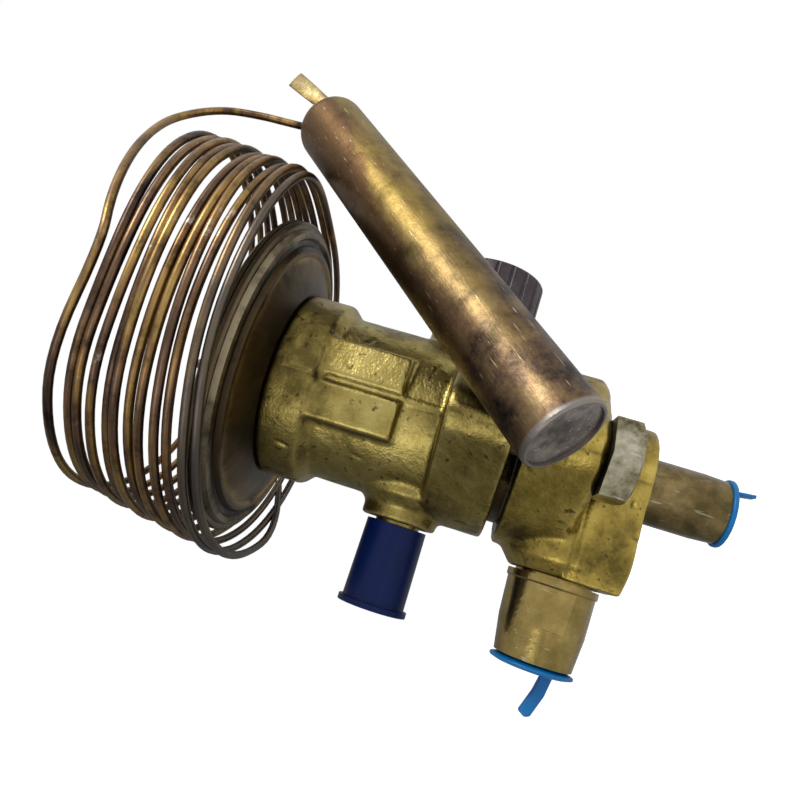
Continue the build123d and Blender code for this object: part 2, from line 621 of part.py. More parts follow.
# ---- crown gear with its threaded hub, turned by the stem's pinion --------------------------
with BuildPart() as crown_gear:
    turned([
        (ROD_HOLE_R, ROOM_BOTTOM + RUNNING),
        (HUB_FOOT_R, ROOM_BOTTOM + RUNNING),
        (HUB_FOOT_R, CROWN_BOTTOM),
        (CROWN_R, CROWN_BOTTOM),
        (CROWN_R, CROWN_TOP),
        (HUB_R, CROWN_TOP),
        (HUB_R, HUB_TOP),
        (ROD_HOLE_R, HUB_TOP),
    ])
    with BuildSketch(Plane.XY.offset(CROWN_TOOTH_TIP)):
        tooth_w = 2 * pi * PINION_OUTER * TOOTH_SHARE / CROWN_TEETH
        with PolarLocations((CROWN_R + PINION_INNER) / 2, CROWN_TEETH):
            Rectangle(CROWN_R - PINION_INNER - 0.3, tooth_w)
    extrude(amount=CROWN_TOOTH_H)
save(crown_gear.part, "crown_gear")

# ---- adjusting stem: pinion, shaft and square end --------------------------------------------
with BuildPart() as adjusting_stem:
    with BuildSketch(axis_plane(-PINION_OUTER, STEM_Z)):
        Circle(PINION_ROOT_R)
        pinion_tooth = 2 * pi * PINION_R * TOOTH_SHARE / PINION_TEETH
        # a gap of the pinion faces the crown's tooth above it
        half_pitch = 180 / PINION_TEETH
        with PolarLocations((PINION_R + PINION_ROOT_R - 1) / 2, PINION_TEETH, start_angle=90 + half_pitch):
            Rectangle(PINION_R - PINION_ROOT_R + 1, pinion_tooth)
    extrude(amount=PINION_OUTER - PINION_INNER)
    with BuildSketch(axis_plane(-PINION_OUTER, STEM_Z)):
        Circle(STEM_R)
    extrude(amount=PINION_OUTER - SPIGOT_END - 0.4)
    with BuildSketch(axis_plane(-SPIGOT_END, STEM_Z)):
        Rectangle(STEM_SQUARE, STEM_SQUARE)
        Circle(STEM_R, mode=Mode.INTERSECT)
    extrude(amount=SPIGOT_END - STEM_END)
save(adjusting_stem.part, "adjusting_stem")

with BuildPart() as stem_packing:
    with BuildSketch(axis_plane(-GLAND_BOTTOM, STEM_Z)):
        Circle(GLAND_R - 0.1)
        Circle(STEM_R + RUNNING, mode=Mode.SUBTRACT)
    extrude(amount=-PACKING)
save(stem_packing.part, "stem_packing")

with BuildPart() as gland_nut:
    with BuildSketch(axis_plane(-GLAND_BOTTOM - PACKING, STEM_Z)):
        Circle(GLAND_R - THREAD_GAP)
        Circle(STEM_R + RUNNING, mode=Mode.SUBTRACT)
    extrude(amount=GLAND_BOTTOM + PACKING - SPIGOT_END)
    with BuildSketch(axis_plane(-SPIGOT_END, STEM_Z)):
        RegularPolygon(GLAND_HEAD_AF / 2, 6, major_radius=False)
        Circle(STEM_R + RUNNING, mode=Mode.SUBTRACT)
    extrude(amount=-GLAND_HEAD)
save(gland_nut.part, "gland_nut")

# ---- seal cap with its gasket ----------------------------------------------------------------
CAP_START = STEM_BOSS_END + CAP_GASKET_THICK
with BuildPart() as cap_gasket:
    with BuildSketch(axis_plane(-STEM_BOSS_END, STEM_Z)):
        Circle(CAP_R - 0.8)
        Circle(THREAD_BORE_R + THREAD_GAP, mode=Mode.SUBTRACT)
    extrude(amount=-CAP_GASKET_THICK)
save(cap_gasket.part, "cap_gasket")

with BuildPart() as seal_cap:
    with BuildSketch(axis_plane(-CAP_START, STEM_Z)):
        Circle(CAP_R)
    extrude(amount=CAP_START - CAP_END)
    fillet(seal_cap.faces().sort_by(Axis.X)[0].edges(), radius=0.8)
    with BuildSketch(axis_plane(-CAP_START - 2.5, STEM_Z)):
        with PolarLocations(CAP_R + 0.2, CAP_RIBS):
            Circle(CAP_GROOVE_R)
    extrude(amount=CAP_START + 2.5 - CAP_END, mode=Mode.SUBTRACT)
    with BuildSketch(axis_plane(-CAP_START, STEM_Z)):
        Circle(THREAD_BORE_R + THREAD_GAP)
    extrude(amount=CAP_START - CAP_END + CAP_ROOF, mode=Mode.SUBTRACT)
save(seal_cap.part, "seal_cap")

# ---- spring seat, keyed to the body, and the superheat spring --------------------------------
with BuildPart() as spring_seat:
    with BuildSketch(Plane.XY.offset(SPRING_SEAT_BOTTOM)):
        Circle(SPRING_SEAT_R)
        with Locations((0, (SPRING_SEAT_R + KEY_PROUD) / 2)):
            Rectangle(KEY_W, SPRING_SEAT_R + KEY_PROUD)
        Circle(HUB_R + THREAD_GAP, mode=Mode.SUBTRACT)
    extrude(amount=SPRING_SEAT_THICK)
save(spring_seat.part, "spring_seat")

with BuildPart() as superheat_spring:
    coil_spring(SPRING_SEAT_TOP, PLATE_HUB_BOTTOM, SPRING_MEAN_R, SPRING_WIRE, 5)
save(superheat_spring.part, "superheat_spring")

# ---- head: lower shell, diaphragm, buffer plate, upper shell and nipple ----------------------
# outer line of the lower shell from the collar to the rim: cone, bead, groove, bead, rim
LOWER_LINE = [
    (JUNCTION_R - 6.5, BODY_TOP),
    (JUNCTION_R, BODY_TOP),
    (FACE_R, FACE_Z),
    (FACE_R + 0.8, FACE_Z - 0.5),
    (FACE_R + 2.0, FACE_Z - 0.3),
    (FACE_R + 2.8, FACE_Z + 0.9),
    (FACE_R + 3.9, FACE_Z + 1.2),
    (FACE_R + 4.6, FACE_Z + 0.5),
    (FACE_R + 5.9, FACE_Z + 0.8),
    (FACE_R + 6.5, RIM_Z - RIM_THICK + 0.1),
    (HEAD_R - 0.5, RIM_Z - RIM_THICK),
    (HEAD_R, RIM_Z - RIM_THICK + 0.5),
    (HEAD_R, RIM_Z),
]
LOWER_INSIDE = [
    (FACE_R + 4.2, RIM_Z),
    (FACE_R, FACE_Z + SHELL + 0.4),
    (JUNCTION_R, BODY_TOP + SHELL),
    (JUNCTION_R - 6.5, BODY_TOP + SHELL),
]
with BuildPart() as head_base:
    turned(LOWER_LINE + LOWER_INSIDE)
save(head_base.part, "head_base")

with BuildPart() as diaphragm:
    turned([
        (0, RIM_Z),
        (HEAD_R - 1, RIM_Z),
        (HEAD_R - 1, RIM_Z + DIAPHRAGM_THICK),
        (0, RIM_Z + DIAPHRAGM_THICK),
    ])
    for wave_r in (16, 22, 28):
        with BuildSketch(Plane.XZ):
            with BuildLine():
                Polyline(
                    (wave_r - 2.0, RIM_Z + DIAPHRAGM_THICK),
                    (wave_r - 0.6, RIM_Z + 2 * DIAPHRAGM_THICK),
                    (wave_r + 0.6, RIM_Z + 2 * DIAPHRAGM_THICK),
                    (wave_r + 2.0, RIM_Z + DIAPHRAGM_THICK),
                    close=True,
                )
            make_face()
        revolve(axis=Axis.Z)
save(diaphragm.part, "diaphragm")

with BuildPart() as buffer_plate:
    turned([
        (0, PLATE_HUB_BOTTOM + 1.5),
        (ROD_R + RUNNING, PLATE_HUB_BOTTOM + 1.5),
        (ROD_R + RUNNING, PLATE_HUB_BOTTOM),
        (PLATE_HUB_R, PLATE_HUB_BOTTOM),
        (PLATE_HUB_R, RIM_Z - PLATE_THICK),
        (PLATE_R, RIM_Z - PLATE_THICK),
        (PLATE_R, RIM_Z),
        (0, RIM_Z),
    ])
save(buffer_plate.part, "buffer_plate")

COVER_LINE = [
    (0, DOME_Z),
    (DOME_R, DOME_Z),
    (DOME_R + 2.5, DOME_Z - 1.6),
    (FACE_R + 1, RIM_Z + 3.6),
    (FACE_R + 2.2, RIM_Z + 3.4),
    (FACE_R + 5.5, RIM_Z + RIM_THICK + 0.3),
    (HEAD_R - 0.5, RIM_Z + RIM_THICK + 0.3),
    (HEAD_R, RIM_Z + RIM_THICK - 0.2),
    (HEAD_R, RIM_Z + DIAPHRAGM_THICK),
    (FACE_R + 4.2, RIM_Z + DIAPHRAGM_THICK),
    (FACE_R, RIM_Z + 2.1),
    (DOME_R + 1.8, DOME_Z - 1.7 - SHELL),
    (DOME_R - 0.6, DOME_Z - SHELL),
    (0, DOME_Z - SHELL),
]
with BuildPart() as head_cover:
    turned(COVER_LINE)
    with BuildSketch(Plane.XY.offset(DOME_Z)):
        Circle(CAPILLARY_R + 0.1)
    extrude(amount=-SHELL, mode=Mode.SUBTRACT)
save(head_cover.part, "head_cover")

with BuildPart() as capillary_nipple:
    turned([
        (CAPILLARY_R + 0.05, DOME_Z),
        (NIPPLE_R, DOME_Z),
        (NIPPLE_R, DOME_Z + 1.6),
        (CAPILLARY_R + 1.0, DOME_Z + NIPPLE_H),
        (CAPILLARY_R + 0.05, DOME_Z + NIPPLE_H),
    ])
save(capillary_nipple.part, "capillary_nipple")

# ---- equalizer fitting and its push-on cap ---------------------------------------------------
with BuildPart() as equalizer_fitting:
    with BuildSketch(axis_plane(EQUALIZER_BOSS_END - EQUALIZER_SOCKET_DEPTH, EQUALIZER_Z)):
        Circle(EQUALIZER_SOCKET_R - BRAZE_GAP)
    extrude(amount=EQUALIZER_SOCKET_DEPTH)
    with BuildSketch(axis_plane(EQUALIZER_BOSS_END, EQUALIZER_Z)):
        Circle(EQUALIZER_THREAD_R)
    extrude(amount=EQUALIZER_STUB_END - EQUALIZER_BOSS_END)
    chamfer(equalizer_fitting.faces().sort_by(Axis.X)[-1].edges(), length=1.2)
    with BuildSketch(axis_plane(EQUALIZER_STUB_END, EQUALIZER_Z)):
        Circle(2.4)
    extrude(amount=EQUALIZER_BOSS_END - EQUALIZER_SOCKET_DEPTH - EQUALIZER_STUB_END, mode=Mode.SUBTRACT)
save(equalizer_fitting.part, "equalizer_fitting")

with BuildPart() as equalizer_cap:
    with BuildSketch(axis_plane(EQ_CAP_START, EQUALIZER_Z)):
        Circle(EQ_CAP_R)
    extrude(amount=EQ_CAP_END - EQ_CAP_START, taper=-0.6)
    with BuildSketch(axis_plane(EQ_CAP_END, EQUALIZER_Z)):
        Circle(EQ_CAP_LIP_R)
    extrude(amount=-EQ_CAP_LIP)
    with BuildSketch(axis_plane(EQ_CAP_START, EQUALIZER_Z)):
        Circle(EQUALIZER_THREAD_R + RUNNING)
    extrude(amount=EQUALIZER_STUB_END - EQ_CAP_START + 1.0, mode=Mode.SUBTRACT)
save(equalizer_cap.part, "equalizer_cap")

# ---- shipping plugs in the two pipe sockets ---------------------------------------------------
INLET_PLUG_R = INLET_BORE_R + LEAD_IN_GAP - RUNNING
INLET_PLUG_LIP_R = 8.35
TAB_LENGTH = 7.3
TAB_THICK = 1.2
TAB_SIDE = 5.3
with BuildPart() as inlet_plug:
    turned([
        (0, INLET_MOUTH - 1.3),
        (INLET_PLUG_LIP_R, INLET_MOUTH - 1.3),
        (INLET_PLUG_LIP_R, INLET_MOUTH - 0.1),
        (INLET_PLUG_R, INLET_MOUTH - 0.1),
        (INLET_PLUG_R, INLET_MOUTH + LEAD_IN - 0.4),
        (INLET_PLUG_R - 1.1, INLET_MOUTH + LEAD_IN - 0.4),
        (INLET_PLUG_R - 1.1, INLET_MOUTH),
        (0, INLET_MOUTH),
    ])
    # pull tab on the lip
    with BuildSketch(Plane.XZ):
        with BuildLine():
            Polyline(
                (-TAB_SIDE - TAB_THICK / 2, INLET_MOUTH - 1.0),
                (-TAB_SIDE + TAB_THICK / 2, INLET_MOUTH - 1.0),
                (-TAB_SIDE - TAB_THICK / 4, INLET_MOUTH - TAB_LENGTH),
                (-TAB_SIDE - TAB_THICK, INLET_MOUTH - TAB_LENGTH),
                close=True,
            )
        make_face()
    extrude(amount=1.6, both=True)
save(inlet_plug.part, "inlet_plug")

OUTLET_PLUG_R = OUTLET_BORE_R + LEAD_IN_GAP - RUNNING
OUTLET_PLUG_LIP_R = 9.9
OUTLET_PLUG_RIM = 1.7  # width of the bevel round the lip
OUTLET_TAB = 12.4  # how far the tab stands out of the socket's mouth
# outline of the tab, in shares of its length
OUTLET_TAB_LINE = [
    (0.13, -0.45),
    (0.13, -0.226),
    (0.5, -0.137),
    (0.92, 0.024),
    (1.0, -0.113),
    (0.96, -0.21),
    (0.548, -0.371),
]
with BuildPart() as outlet_plug:
    turned(
        [
            (OUTLET_MOUTH + 2.0, OUTLET_Z),
            (OUTLET_MOUTH + 2.0, OUTLET_Z + OUTLET_PLUG_LIP_R - OUTLET_PLUG_RIM),
            (OUTLET_MOUTH + 1.5, OUTLET_Z + OUTLET_PLUG_LIP_R),
            (OUTLET_MOUTH + 0.9, OUTLET_Z + OUTLET_PLUG_LIP_R),
            (OUTLET_MOUTH + 0.3, OUTLET_Z + OUTLET_PLUG_R - OUTLET_PLUG_RIM / 2),
            (OUTLET_MOUTH - 0.8, OUTLET_Z + OUTLET_PLUG_R - 0.5),
            (OUTLET_MOUTH - 1.6, OUTLET_Z + OUTLET_PLUG_R),
            (OUTLET_MOUTH - LEAD_IN + 0.4, OUTLET_Z + OUTLET_PLUG_R),
            (OUTLET_MOUTH - LEAD_IN + 0.4, OUTLET_Z + OUTLET_PLUG_R - 1.1),
            (OUTLET_MOUTH + 0.6, OUTLET_Z + OUTLET_PLUG_R - 1.5 * OUTLET_PLUG_RIM),
            (OUTLET_MOUTH + 0.6, OUTLET_Z),
        ],
        axis=Axis((0, 0, OUTLET_Z), (1, 0, 0)),
    )
    # pull tab, leaning towards the inlet side where it leaves the lip
    with BuildSketch(Plane.XZ):
        with BuildLine():
            Polyline(
                *[
                    (OUTLET_MOUTH + OUTLET_TAB * out, OUTLET_Z + OUTLET_TAB * up)
                    for out, up in OUTLET_TAB_LINE
                ],
                close=True,
            )
        make_face()
    extrude(amount=1.1, both=True)
save(outlet_plug.part, "outlet_plug")

# ---- sensing bulb: shell, crimped end, charging stub ------------------------------------------
bulb_dir = (BULB_FAR - BULB_NEAR).normalized()
bulb_side = bulb_dir.cross(Vector(0, 1, 0)).normalized()
bulb_plane = Plane(origin=BULB_NEAR, x_dir=bulb_side, z_dir=bulb_dir)
bulb_section = Plane(origin=BULB_NEAR, x_dir=bulb_side, z_dir=bulb_side.cross(bulb_dir))
bulb_length = (BULB_FAR - BULB_NEAR).length
bulb_total = bulb_length + BULB_SHOULDER
bulb_axis = Axis(BULB_NEAR, bulb_dir)
bulb_entry = BULB_NEAR + bulb_dir * bulb_total - bulb_side * BULB_TUBE_OFFSET
with BuildPart() as bulb_shell:
    with BuildSketch(bulb_section):
        with BuildLine():
            Polyline(
                (BULB_R - BULB_WALL, 0),
                (BULB_R - 0.4, 0),
                (BULB_R, 0.5),
                (BULB_R, bulb_length),
            )
            RadiusArc((BULB_R, bulb_length), (BULB_R - BULB_SHOULDER, bulb_total), -BULB_SHOULDER)
            Polyline(
                (BULB_R - BULB_SHOULDER, bulb_total),
                (0, bulb_total),
                (0, bulb_total - BULB_WALL),
                (BULB_R - BULB_SHOULDER, bulb_total - BULB_WALL),
                (BULB_R - BULB_WALL, bulb_length),
                (BULB_R - BULB_WALL, 0),
            )
        make_face()
    revolve(axis=bulb_axis)
    with BuildSketch(bulb_plane.offset(bulb_total)):
        with Locations((BULB_TUBE_OFFSET, 0)):
            Circle(STUB_R + BRAZE_GAP)
    extrude(amount=-2 * BULB_WALL, mode=Mode.SUBTRACT)
    with BuildSketch(Plane(origin=bulb_entry, z_dir=ENTRY_DIR)):
        Circle(CAPILLARY_R + BRAZE_GAP)
    extrude(amount=3, both=True, mode=Mode.SUBTRACT)
save(bulb_shell.part, "bulb_shell")

with BuildPart() as bulb_end_cap:
    with BuildSketch(bulb_plane.offset(BULB_RECESS)):
        Circle(BULB_R - BULB_WALL - BRAZE_GAP)
    extrude(amount=BULB_CAP_THICK)
save(bulb_end_cap.part, "bulb_end_cap")

stub_base = bulb_plane.offset(bulb_total - BULB_WALL)
stub_foot = BULB_NEAR + bulb_dir * (bulb_total + 2.2) + bulb_side * BULB_TUBE_OFFSET
stub_run = STUB_DIR.normalized()
with BuildPart() as charge_stub:
    with BuildSketch(stub_base):
        with Locations((BULB_TUBE_OFFSET, 0)):
            Circle(STUB_R)
    extrude(amount=BULB_WALL + 2.2)
    with BuildSketch(stub_base.offset(BULB_WALL + 2.2)):
        with Locations((BULB_TUBE_OFFSET, 0)):
            Circle(STUB_R)
    for share, width in ((0.4, 1.3), (1.0, 1.5)):
        with BuildSketch(Plane(stub_foot + stub_run * STUB_LENGTH * share, x_dir=bulb_side, z_dir=stub_run)):
            Ellipse(STUB_R * width, STUB_PINCH)
    loft()
save(charge_stub.part, "charge_stub")

# ---- capillary: the wound coil as one closed ring, and the two free stretches ------------------
coil_plane = Plane(origin=(COIL_X, 0, COIL_BASE_Z), x_dir=(COIL_RISE, 0, COIL_LEAN), z_dir=(-COIL_LEAN, 0, COIL_RISE))
with BuildPart() as capillary_coil:
    with BuildSketch(coil_plane.offset(-COIL_TRIM)):
        Circle(COIL_R + COIL_WALL / 2)
        Circle(COIL_R - COIL_WALL / 2, mode=Mode.SUBTRACT)
    extrude(amount=COIL_TOP - COIL_BASE_Z + 2 * COIL_TRIM)
    reach = COIL_R + 20
    low_slope = (COIL_LOW_STEM_SIDE - COIL_LOW_EQUALIZER_SIDE) / (2 * COIL_R)
    low_middle = (COIL_LOW_STEM_SIDE + COIL_LOW_EQUALIZER_SIDE) / 2
    # the turns fan out, so the ring is lower at the equalizer side and at the front
    with BuildSketch(Plane.XZ):
        with BuildLine():
            Polyline(
                (COIL_X - reach, low_middle + low_slope * reach),
                (COIL_X + reach, low_middle - low_slope * reach),
                (COIL_X + reach, low_middle - 40),
                (COIL_X - reach, low_middle - 40),
                close=True,
            )
        make_face()
    extrude(amount=reach + 5, both=True, mode=Mode.SUBTRACT)
    with BuildSketch(Plane.YZ):
        with BuildLine():
            Polyline(
                (-COIL_R, COIL_BACK_TOP),
                (-COIL_R / 3, COIL_TOP),
                (COIL_R / 3, COIL_TOP),
                (COIL_R, COIL_FRONT_TOP),
                (reach, COIL_FRONT_TOP),
                (reach, COIL_TOP + 40),
                (-reach, COIL_TOP + 40),
                (-reach, COIL_BACK_TOP),
                close=True,
            )
        make_face()
    extrude(amount=reach + 20, both=True, mode=Mode.SUBTRACT)
save(capillary_coil.part, "capillary_coil")


def tube_along(points):
    """Add a capillary tube along points, with arcs as large as each pair of runs allows."""
    runs = [b - a for a, b in zip(points, points[1:])]
    radii = []
    for before, after in zip(runs, runs[1:]):
        turn = radians(before.get_angle(after))
        radii.append(0.45 * min(before.length, after.length) / tan(turn / 2))
    with BuildLine() as centre_line:
        FilletPolyline(*points, radius=radii)
    path = centre_line.line
    with BuildSketch(Plane(origin=points[0], z_dir=runs[0])) as section:
        Circle(CAPILLARY_R)
    sweep(section.sketch, path=path)
    length = sum(edge.length for edge in centre_line.edges())
    print("tube: length", round(length, 1), "radii", [round(r, 1) for r in radii])
    return length


LEAD_ROUTE = [
    Vector(-8.0, 48.9, 132.4),
    Vector(-18.5, 46.4, 136.4),
    Vector(-32.0, 38.4, 142.0),
    Vector(-45.0, 27.6, 147.0),
    Vector(-57.0, 16.0, 150.0),
    Vector(-66.0, 9.5, 143.0),
    Vector(-67.6, 8.6, 132.0),
    bulb_entry + ENTRY_DIR.normalized() * 7.0,
    bulb_entry - ENTRY_DIR.normalized() * 1.6,
]
TAIL_ROUTE = [
    Vector(0, 0, DOME_Z + 0.2),
    Vector(0, 0, DOME_Z + 10.0),
    Vector(0.5, -9.0, DOME_Z + 17.5),
    Vector(3.0, -20.5, DOME_Z + 15.5),
    Vector(7.0, -31.5, DOME_Z + 8.5),
    Vector(13.0, -40.0, DOME_Z - 1.0),
    Vector(22.5, -42.8, DOME_Z - 7.5),
]
for lead_name, route in (("capillary_lead", LEAD_ROUTE), ("capillary_tail", TAIL_ROUTE)):
    with BuildPart() as lead:
        tube_length = tube_along(route)
    share = lead.part.volume / (pi * CAPILLARY_R**2 * tube_length)
    print(lead_name, "volume over section times length", round(share, 4))
    save(lead.part, lead_name)
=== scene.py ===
"""Refrigerant expansion valve: camera, capillary, finished pieces, materials, floor and lamps."""
import math
import random

import bpy
from mathutils import Matrix, Vector, kdtree, noise


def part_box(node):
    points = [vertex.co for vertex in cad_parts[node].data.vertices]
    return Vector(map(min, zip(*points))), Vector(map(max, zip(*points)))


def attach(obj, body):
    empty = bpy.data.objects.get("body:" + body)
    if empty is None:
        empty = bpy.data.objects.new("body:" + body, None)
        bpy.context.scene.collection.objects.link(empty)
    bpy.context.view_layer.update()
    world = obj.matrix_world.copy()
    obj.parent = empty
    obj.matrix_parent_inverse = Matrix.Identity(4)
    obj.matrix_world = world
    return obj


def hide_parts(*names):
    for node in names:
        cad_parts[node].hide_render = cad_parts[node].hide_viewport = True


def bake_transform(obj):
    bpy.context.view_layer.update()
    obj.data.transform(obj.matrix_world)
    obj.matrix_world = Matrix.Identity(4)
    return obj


MM = 0.001
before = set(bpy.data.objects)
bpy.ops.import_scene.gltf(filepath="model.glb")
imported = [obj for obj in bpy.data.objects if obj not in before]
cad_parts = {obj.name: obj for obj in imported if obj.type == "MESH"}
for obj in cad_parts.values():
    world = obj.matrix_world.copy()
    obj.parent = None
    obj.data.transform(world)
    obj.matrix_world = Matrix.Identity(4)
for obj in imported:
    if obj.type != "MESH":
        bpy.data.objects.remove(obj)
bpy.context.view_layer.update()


# ---- small helpers --------------------------------------------------------------------------
def ease(share):
    """Smooth step from 0 to 1."""
    share = min(1.0, max(0.0, share))
    return share * share * (3 - 2 * share)


def linear(hex_colour):
    """Linear RGBA of an sRGB hex colour."""
    parts = [int(hex_colour[i : i + 2], 16) / 255 for i in (1, 3, 5)]
    return [c / 12.92 if c <= 0.04045 else ((c + 0.055) / 1.055) ** 2.4 for c in parts] + [1]


def add(tree, kind, inputs=None, stops=None, **settings):
    """Add a node with its settings; an input given as a socket is linked, any other is set.

    Stops are a colour ramp's (position, hex colour or grey level) pairs."""
    node = tree.nodes.new(kind)
    for name, value in settings.items():
        setattr(node, name, value)
    for key, value in (inputs or {}).items():
        if isinstance(value, bpy.types.NodeSocket):
            tree.links.new(value, node.inputs[key])
        else:
            node.inputs[key].default_value = value
    if stops:
        elements = node.color_ramp.elements
        while len(elements) < len(stops):
            elements.new(0.5)
        for element, (position, colour) in zip(elements, stops):
            element.position = position
            element.color = linear(colour) if isinstance(colour, str) else (colour, colour, colour, 1)
    return node


def new_material(name):
    """Empty metal or plastic: its material, its node tree, its shader and the socket of object places."""
    material = bpy.data.materials.new(name)
    material.use_nodes = True
    tree = material.node_tree
    tree.nodes.clear()
    shader = add(tree, "ShaderNodeBsdfPrincipled")
    add(tree, "ShaderNodeOutputMaterial", {"Surface": shader.outputs["BSDF"]})
    place = add(tree, "ShaderNodeTexCoord").outputs["Object"]
    return material, tree, shader, place


def pick(piece):
    """Select one piece alone and make it the active one."""
    bpy.ops.object.select_all(action="DESELECT")
    piece.select_set(True)
    bpy.context.view_layer.objects.active = piece


def wear(piece, material):
    """Give a piece one material in place of any it has."""
    piece.data.materials.clear()
    piece.data.materials.append(material)


# ---- camera ---------------------------------------------------------------------------------
SENSOR_WIDTH = 36
FOCAL_LENGTH = 30.6
NEAREST_SEEN = 10
CAMERA_PLACE = (30.7, 169.7, 49.5)
# directions of the view's right side, its lower side and its depth
CAMERA_RIGHT = (-0.30455, -0.06254, -0.95002)
CAMERA_DOWN = (0.93090, -0.22885, -0.28337)
CAMERA_VIEW = (-0.19969, -0.97145, 0.12792)


def place_camera():
    """Camera close to the valve, which lies on its side in the view with its head at the left."""
    data = bpy.data.cameras.new("camera")
    data.sensor_width = SENSOR_WIDTH
    data.lens = FOCAL_LENGTH
    data.clip_start = NEAREST_SEEN * MM
    camera = bpy.data.objects.new("camera", data)
    turn = Matrix((Vector(CAMERA_RIGHT), -Vector(CAMERA_DOWN), -Vector(CAMERA_VIEW))).transposed()
    camera.matrix_world = Matrix.Translation(Vector(CAMERA_PLACE) * MM) @ turn.to_4x4()
    bpy.context.scene.collection.objects.link(camera)
    bpy.context.scene.camera = camera


place_camera()

# ---- capillary: one tube from the head's nipple, round the coil, to the bulb ------------------
CAPILLARY_R = 1.0
DOME_Z = 113.4
EXIT_Z = DOME_Z + 0.2
TAIL = [
    (0, 0, EXIT_Z),
    (0, 0, DOME_Z + 10.0),
    (0.5, -9.0, DOME_Z + 17.5),
    (3.0, -20.5, DOME_Z + 15.5),
    (7.0, -31.5, DOME_Z + 8.5),
    (13.0, -40.0, DOME_Z - 1.0),
    (22.5, -42.8, DOME_Z - 7.5),
]
LEAD = [
    (-8.0, 48.9, 132.4),
    (-18.5, 46.4, 136.4),
    (-32.0, 38.4, 142.0),
    (-45.0, 27.6, 147.0),
    (-57.0, 16.0, 150.0),
    (-66.0, 9.5, 143.0),
    (-67.6, 8.6, 132.0),
    (-67.98, 7.79, 123.12),
    (-68.85, 6.49, 114.66),
]
COIL_R = 49.3
COIL_MIDDLE_X = -3.0
COIL_BASE_Z = 102.0
COIL_LEAN = 5.0 / 36.0
COIL_WOBBLE = 0.9
PASSES = 11
TURN_POINTS = 16
# angles swept from the first pass, in degrees
COIL_START = -146.0
COIL_END = PASSES * 360 - 6.0
LOOSE_TURN_AT = PASSES * 360 - 60.0
LOOSE_TURN_SPREAD = 130.0
LOOSE_TURN_RISE = 1.2
SWAY = 0.5
SWAY_TWICE_ROUND = 0.6
SWAY_PHASES = (0, 6.28)
# for each side of the coil: its angle, the height of the first pass and the step to the next
SIDES = [
    (0, 100.9, 3.65),
    (45, 102.6, 3.20),
    (90, 105.0, 2.48),
    (135, 106.0, 2.70),
    (165, 108.6, 2.75),
    (190, 108.8, 2.75),
    (225, 104.5, 3.20),
    (270, 100.0, 3.75),
    (315, 99.4, 3.75),
    (360, 100.9, 3.65),
]


def along_sides(angle, column):
    """Smoothly blended value of SIDES at an angle round the coil."""
    angle %= 360
    for one, two in zip(SIDES, SIDES[1:]):
        if one[0] <= angle <= two[0]:
            share = ease((angle - one[0]) / (two[0] - one[0]))
            return one[column] + (two[column] - one[column]) * share
    return SIDES[0][column]


def coil_points():
    """Route of the wound turns, from the tail's end at the back to the lead's start."""
    loose = random.Random(7)
    wobble = [loose.uniform(-COIL_WOBBLE, COIL_WOBBLE) for _ in range(PASSES + 3)]
    sway = [(loose.uniform(*SWAY_PHASES), loose.uniform(*SWAY_PHASES)) for _ in range(PASSES + 3)]
    count = round((COIL_END - COIL_START) / 360 * TURN_POINTS)
    points = []
    for i in range(count + 1):
        swept = COIL_START + (COIL_END - COIL_START) * i / count
        angle = 90 + swept
        passes = swept / 360
        turn = int(passes + 1)
        blend = ease(passes + 1 - turn)
        height = along_sides(angle, 1) + along_sides(angle, 2) * passes
        # each turn sways a little against its neighbours
        swings = []
        for first, second in sway[turn : turn + 2]:
            once_round = math.sin(math.radians(angle) + first)
            twice_round = math.sin(math.radians(2 * angle) + second)
            swings.append(once_round + SWAY_TWICE_ROUND * twice_round)
        height += SWAY * (swings[0] * (1 - blend) + swings[1] * blend)
        # the last turn stands away from the others at the front
        height += LOOSE_TURN_RISE * ease(1 - abs(swept - LOOSE_TURN_AT) / LOOSE_TURN_SPREAD)
        out = COIL_R + wobble[turn] * (1 - blend) + wobble[turn + 1] * blend
        # the spline cuts inside its points by this share of the radius
        out /= math.cos(math.pi / TURN_POINTS) ** 2 * 0.25 + 0.75
        middle_x = COIL_MIDDLE_X - COIL_LEAN * (height - COIL_BASE_Z)
        x = middle_x + out * math.cos(math.radians(angle))
        points.append((x, out * math.sin(math.radians(angle)), height))
    return points


def spline_tube(name, points, radius):
    """Tube along one smooth spline, with its control points and its radius in millimetres."""
    data = bpy.data.curves.new(name, "CURVE")
    data.dimensions = "3D"
    data.bevel_depth = 1.0  # the tube's radius is this times the points' own
    data.bevel_resolution = 3
    data.resolution_u = 6
    data.use_fill_caps = True
    spline = data.splines.new("NURBS")
    spline.points.add(len(points) - 1)
    for control, point in zip(spline.points, points):
        control.co = (point[0] * MM, point[1] * MM, point[2] * MM, 1)
        control.radius = radius * MM
    spline.order_u = 3
    spline.use_endpoint_u = True
    tube = bpy.data.objects.new(name, data)
    bpy.context.scene.collection.objects.link(tube)
    return tube


capillary_route = TAIL + coil_points()[1:-1] + LEAD
capillary = spline_tube("capillary", capillary_route, CAPILLARY_R)
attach(capillary, "valve")
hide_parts("capillary_coil", "capillary_lead", "capillary_tail")


# ---- forged and moulded skins -----------------------------------------------------------------
MERGE_WITHIN = 0.01
CASTING_GRID = 0.6
PLUG_GRID = 0.28
# each nick's values are drawn between two; bow is a share of its length, and soil a share of full dirt
NICK_LENGTHS = (1.0, 2.6)
NICK_WIDTHS = (0.35, 0.7)
NICK_DEPTHS = (0.15, 0.4)
NICK_BOWS = (-0.3, 0.3)
NICK_SOIL = (0.25, 0.9)
# a nick stops where the skin turns away from it, which is where the normals' product falls under this
NICK_FACING = 0.3
# the skin swells and sinks by about a tenth of a millimetre, in wide hollows and in small ones
UNEVENNESS = 0.1
WIDE_HOLLOW = 7
SMALL_HOLLOW = 2.6
SMALL_SHARE = 0.5
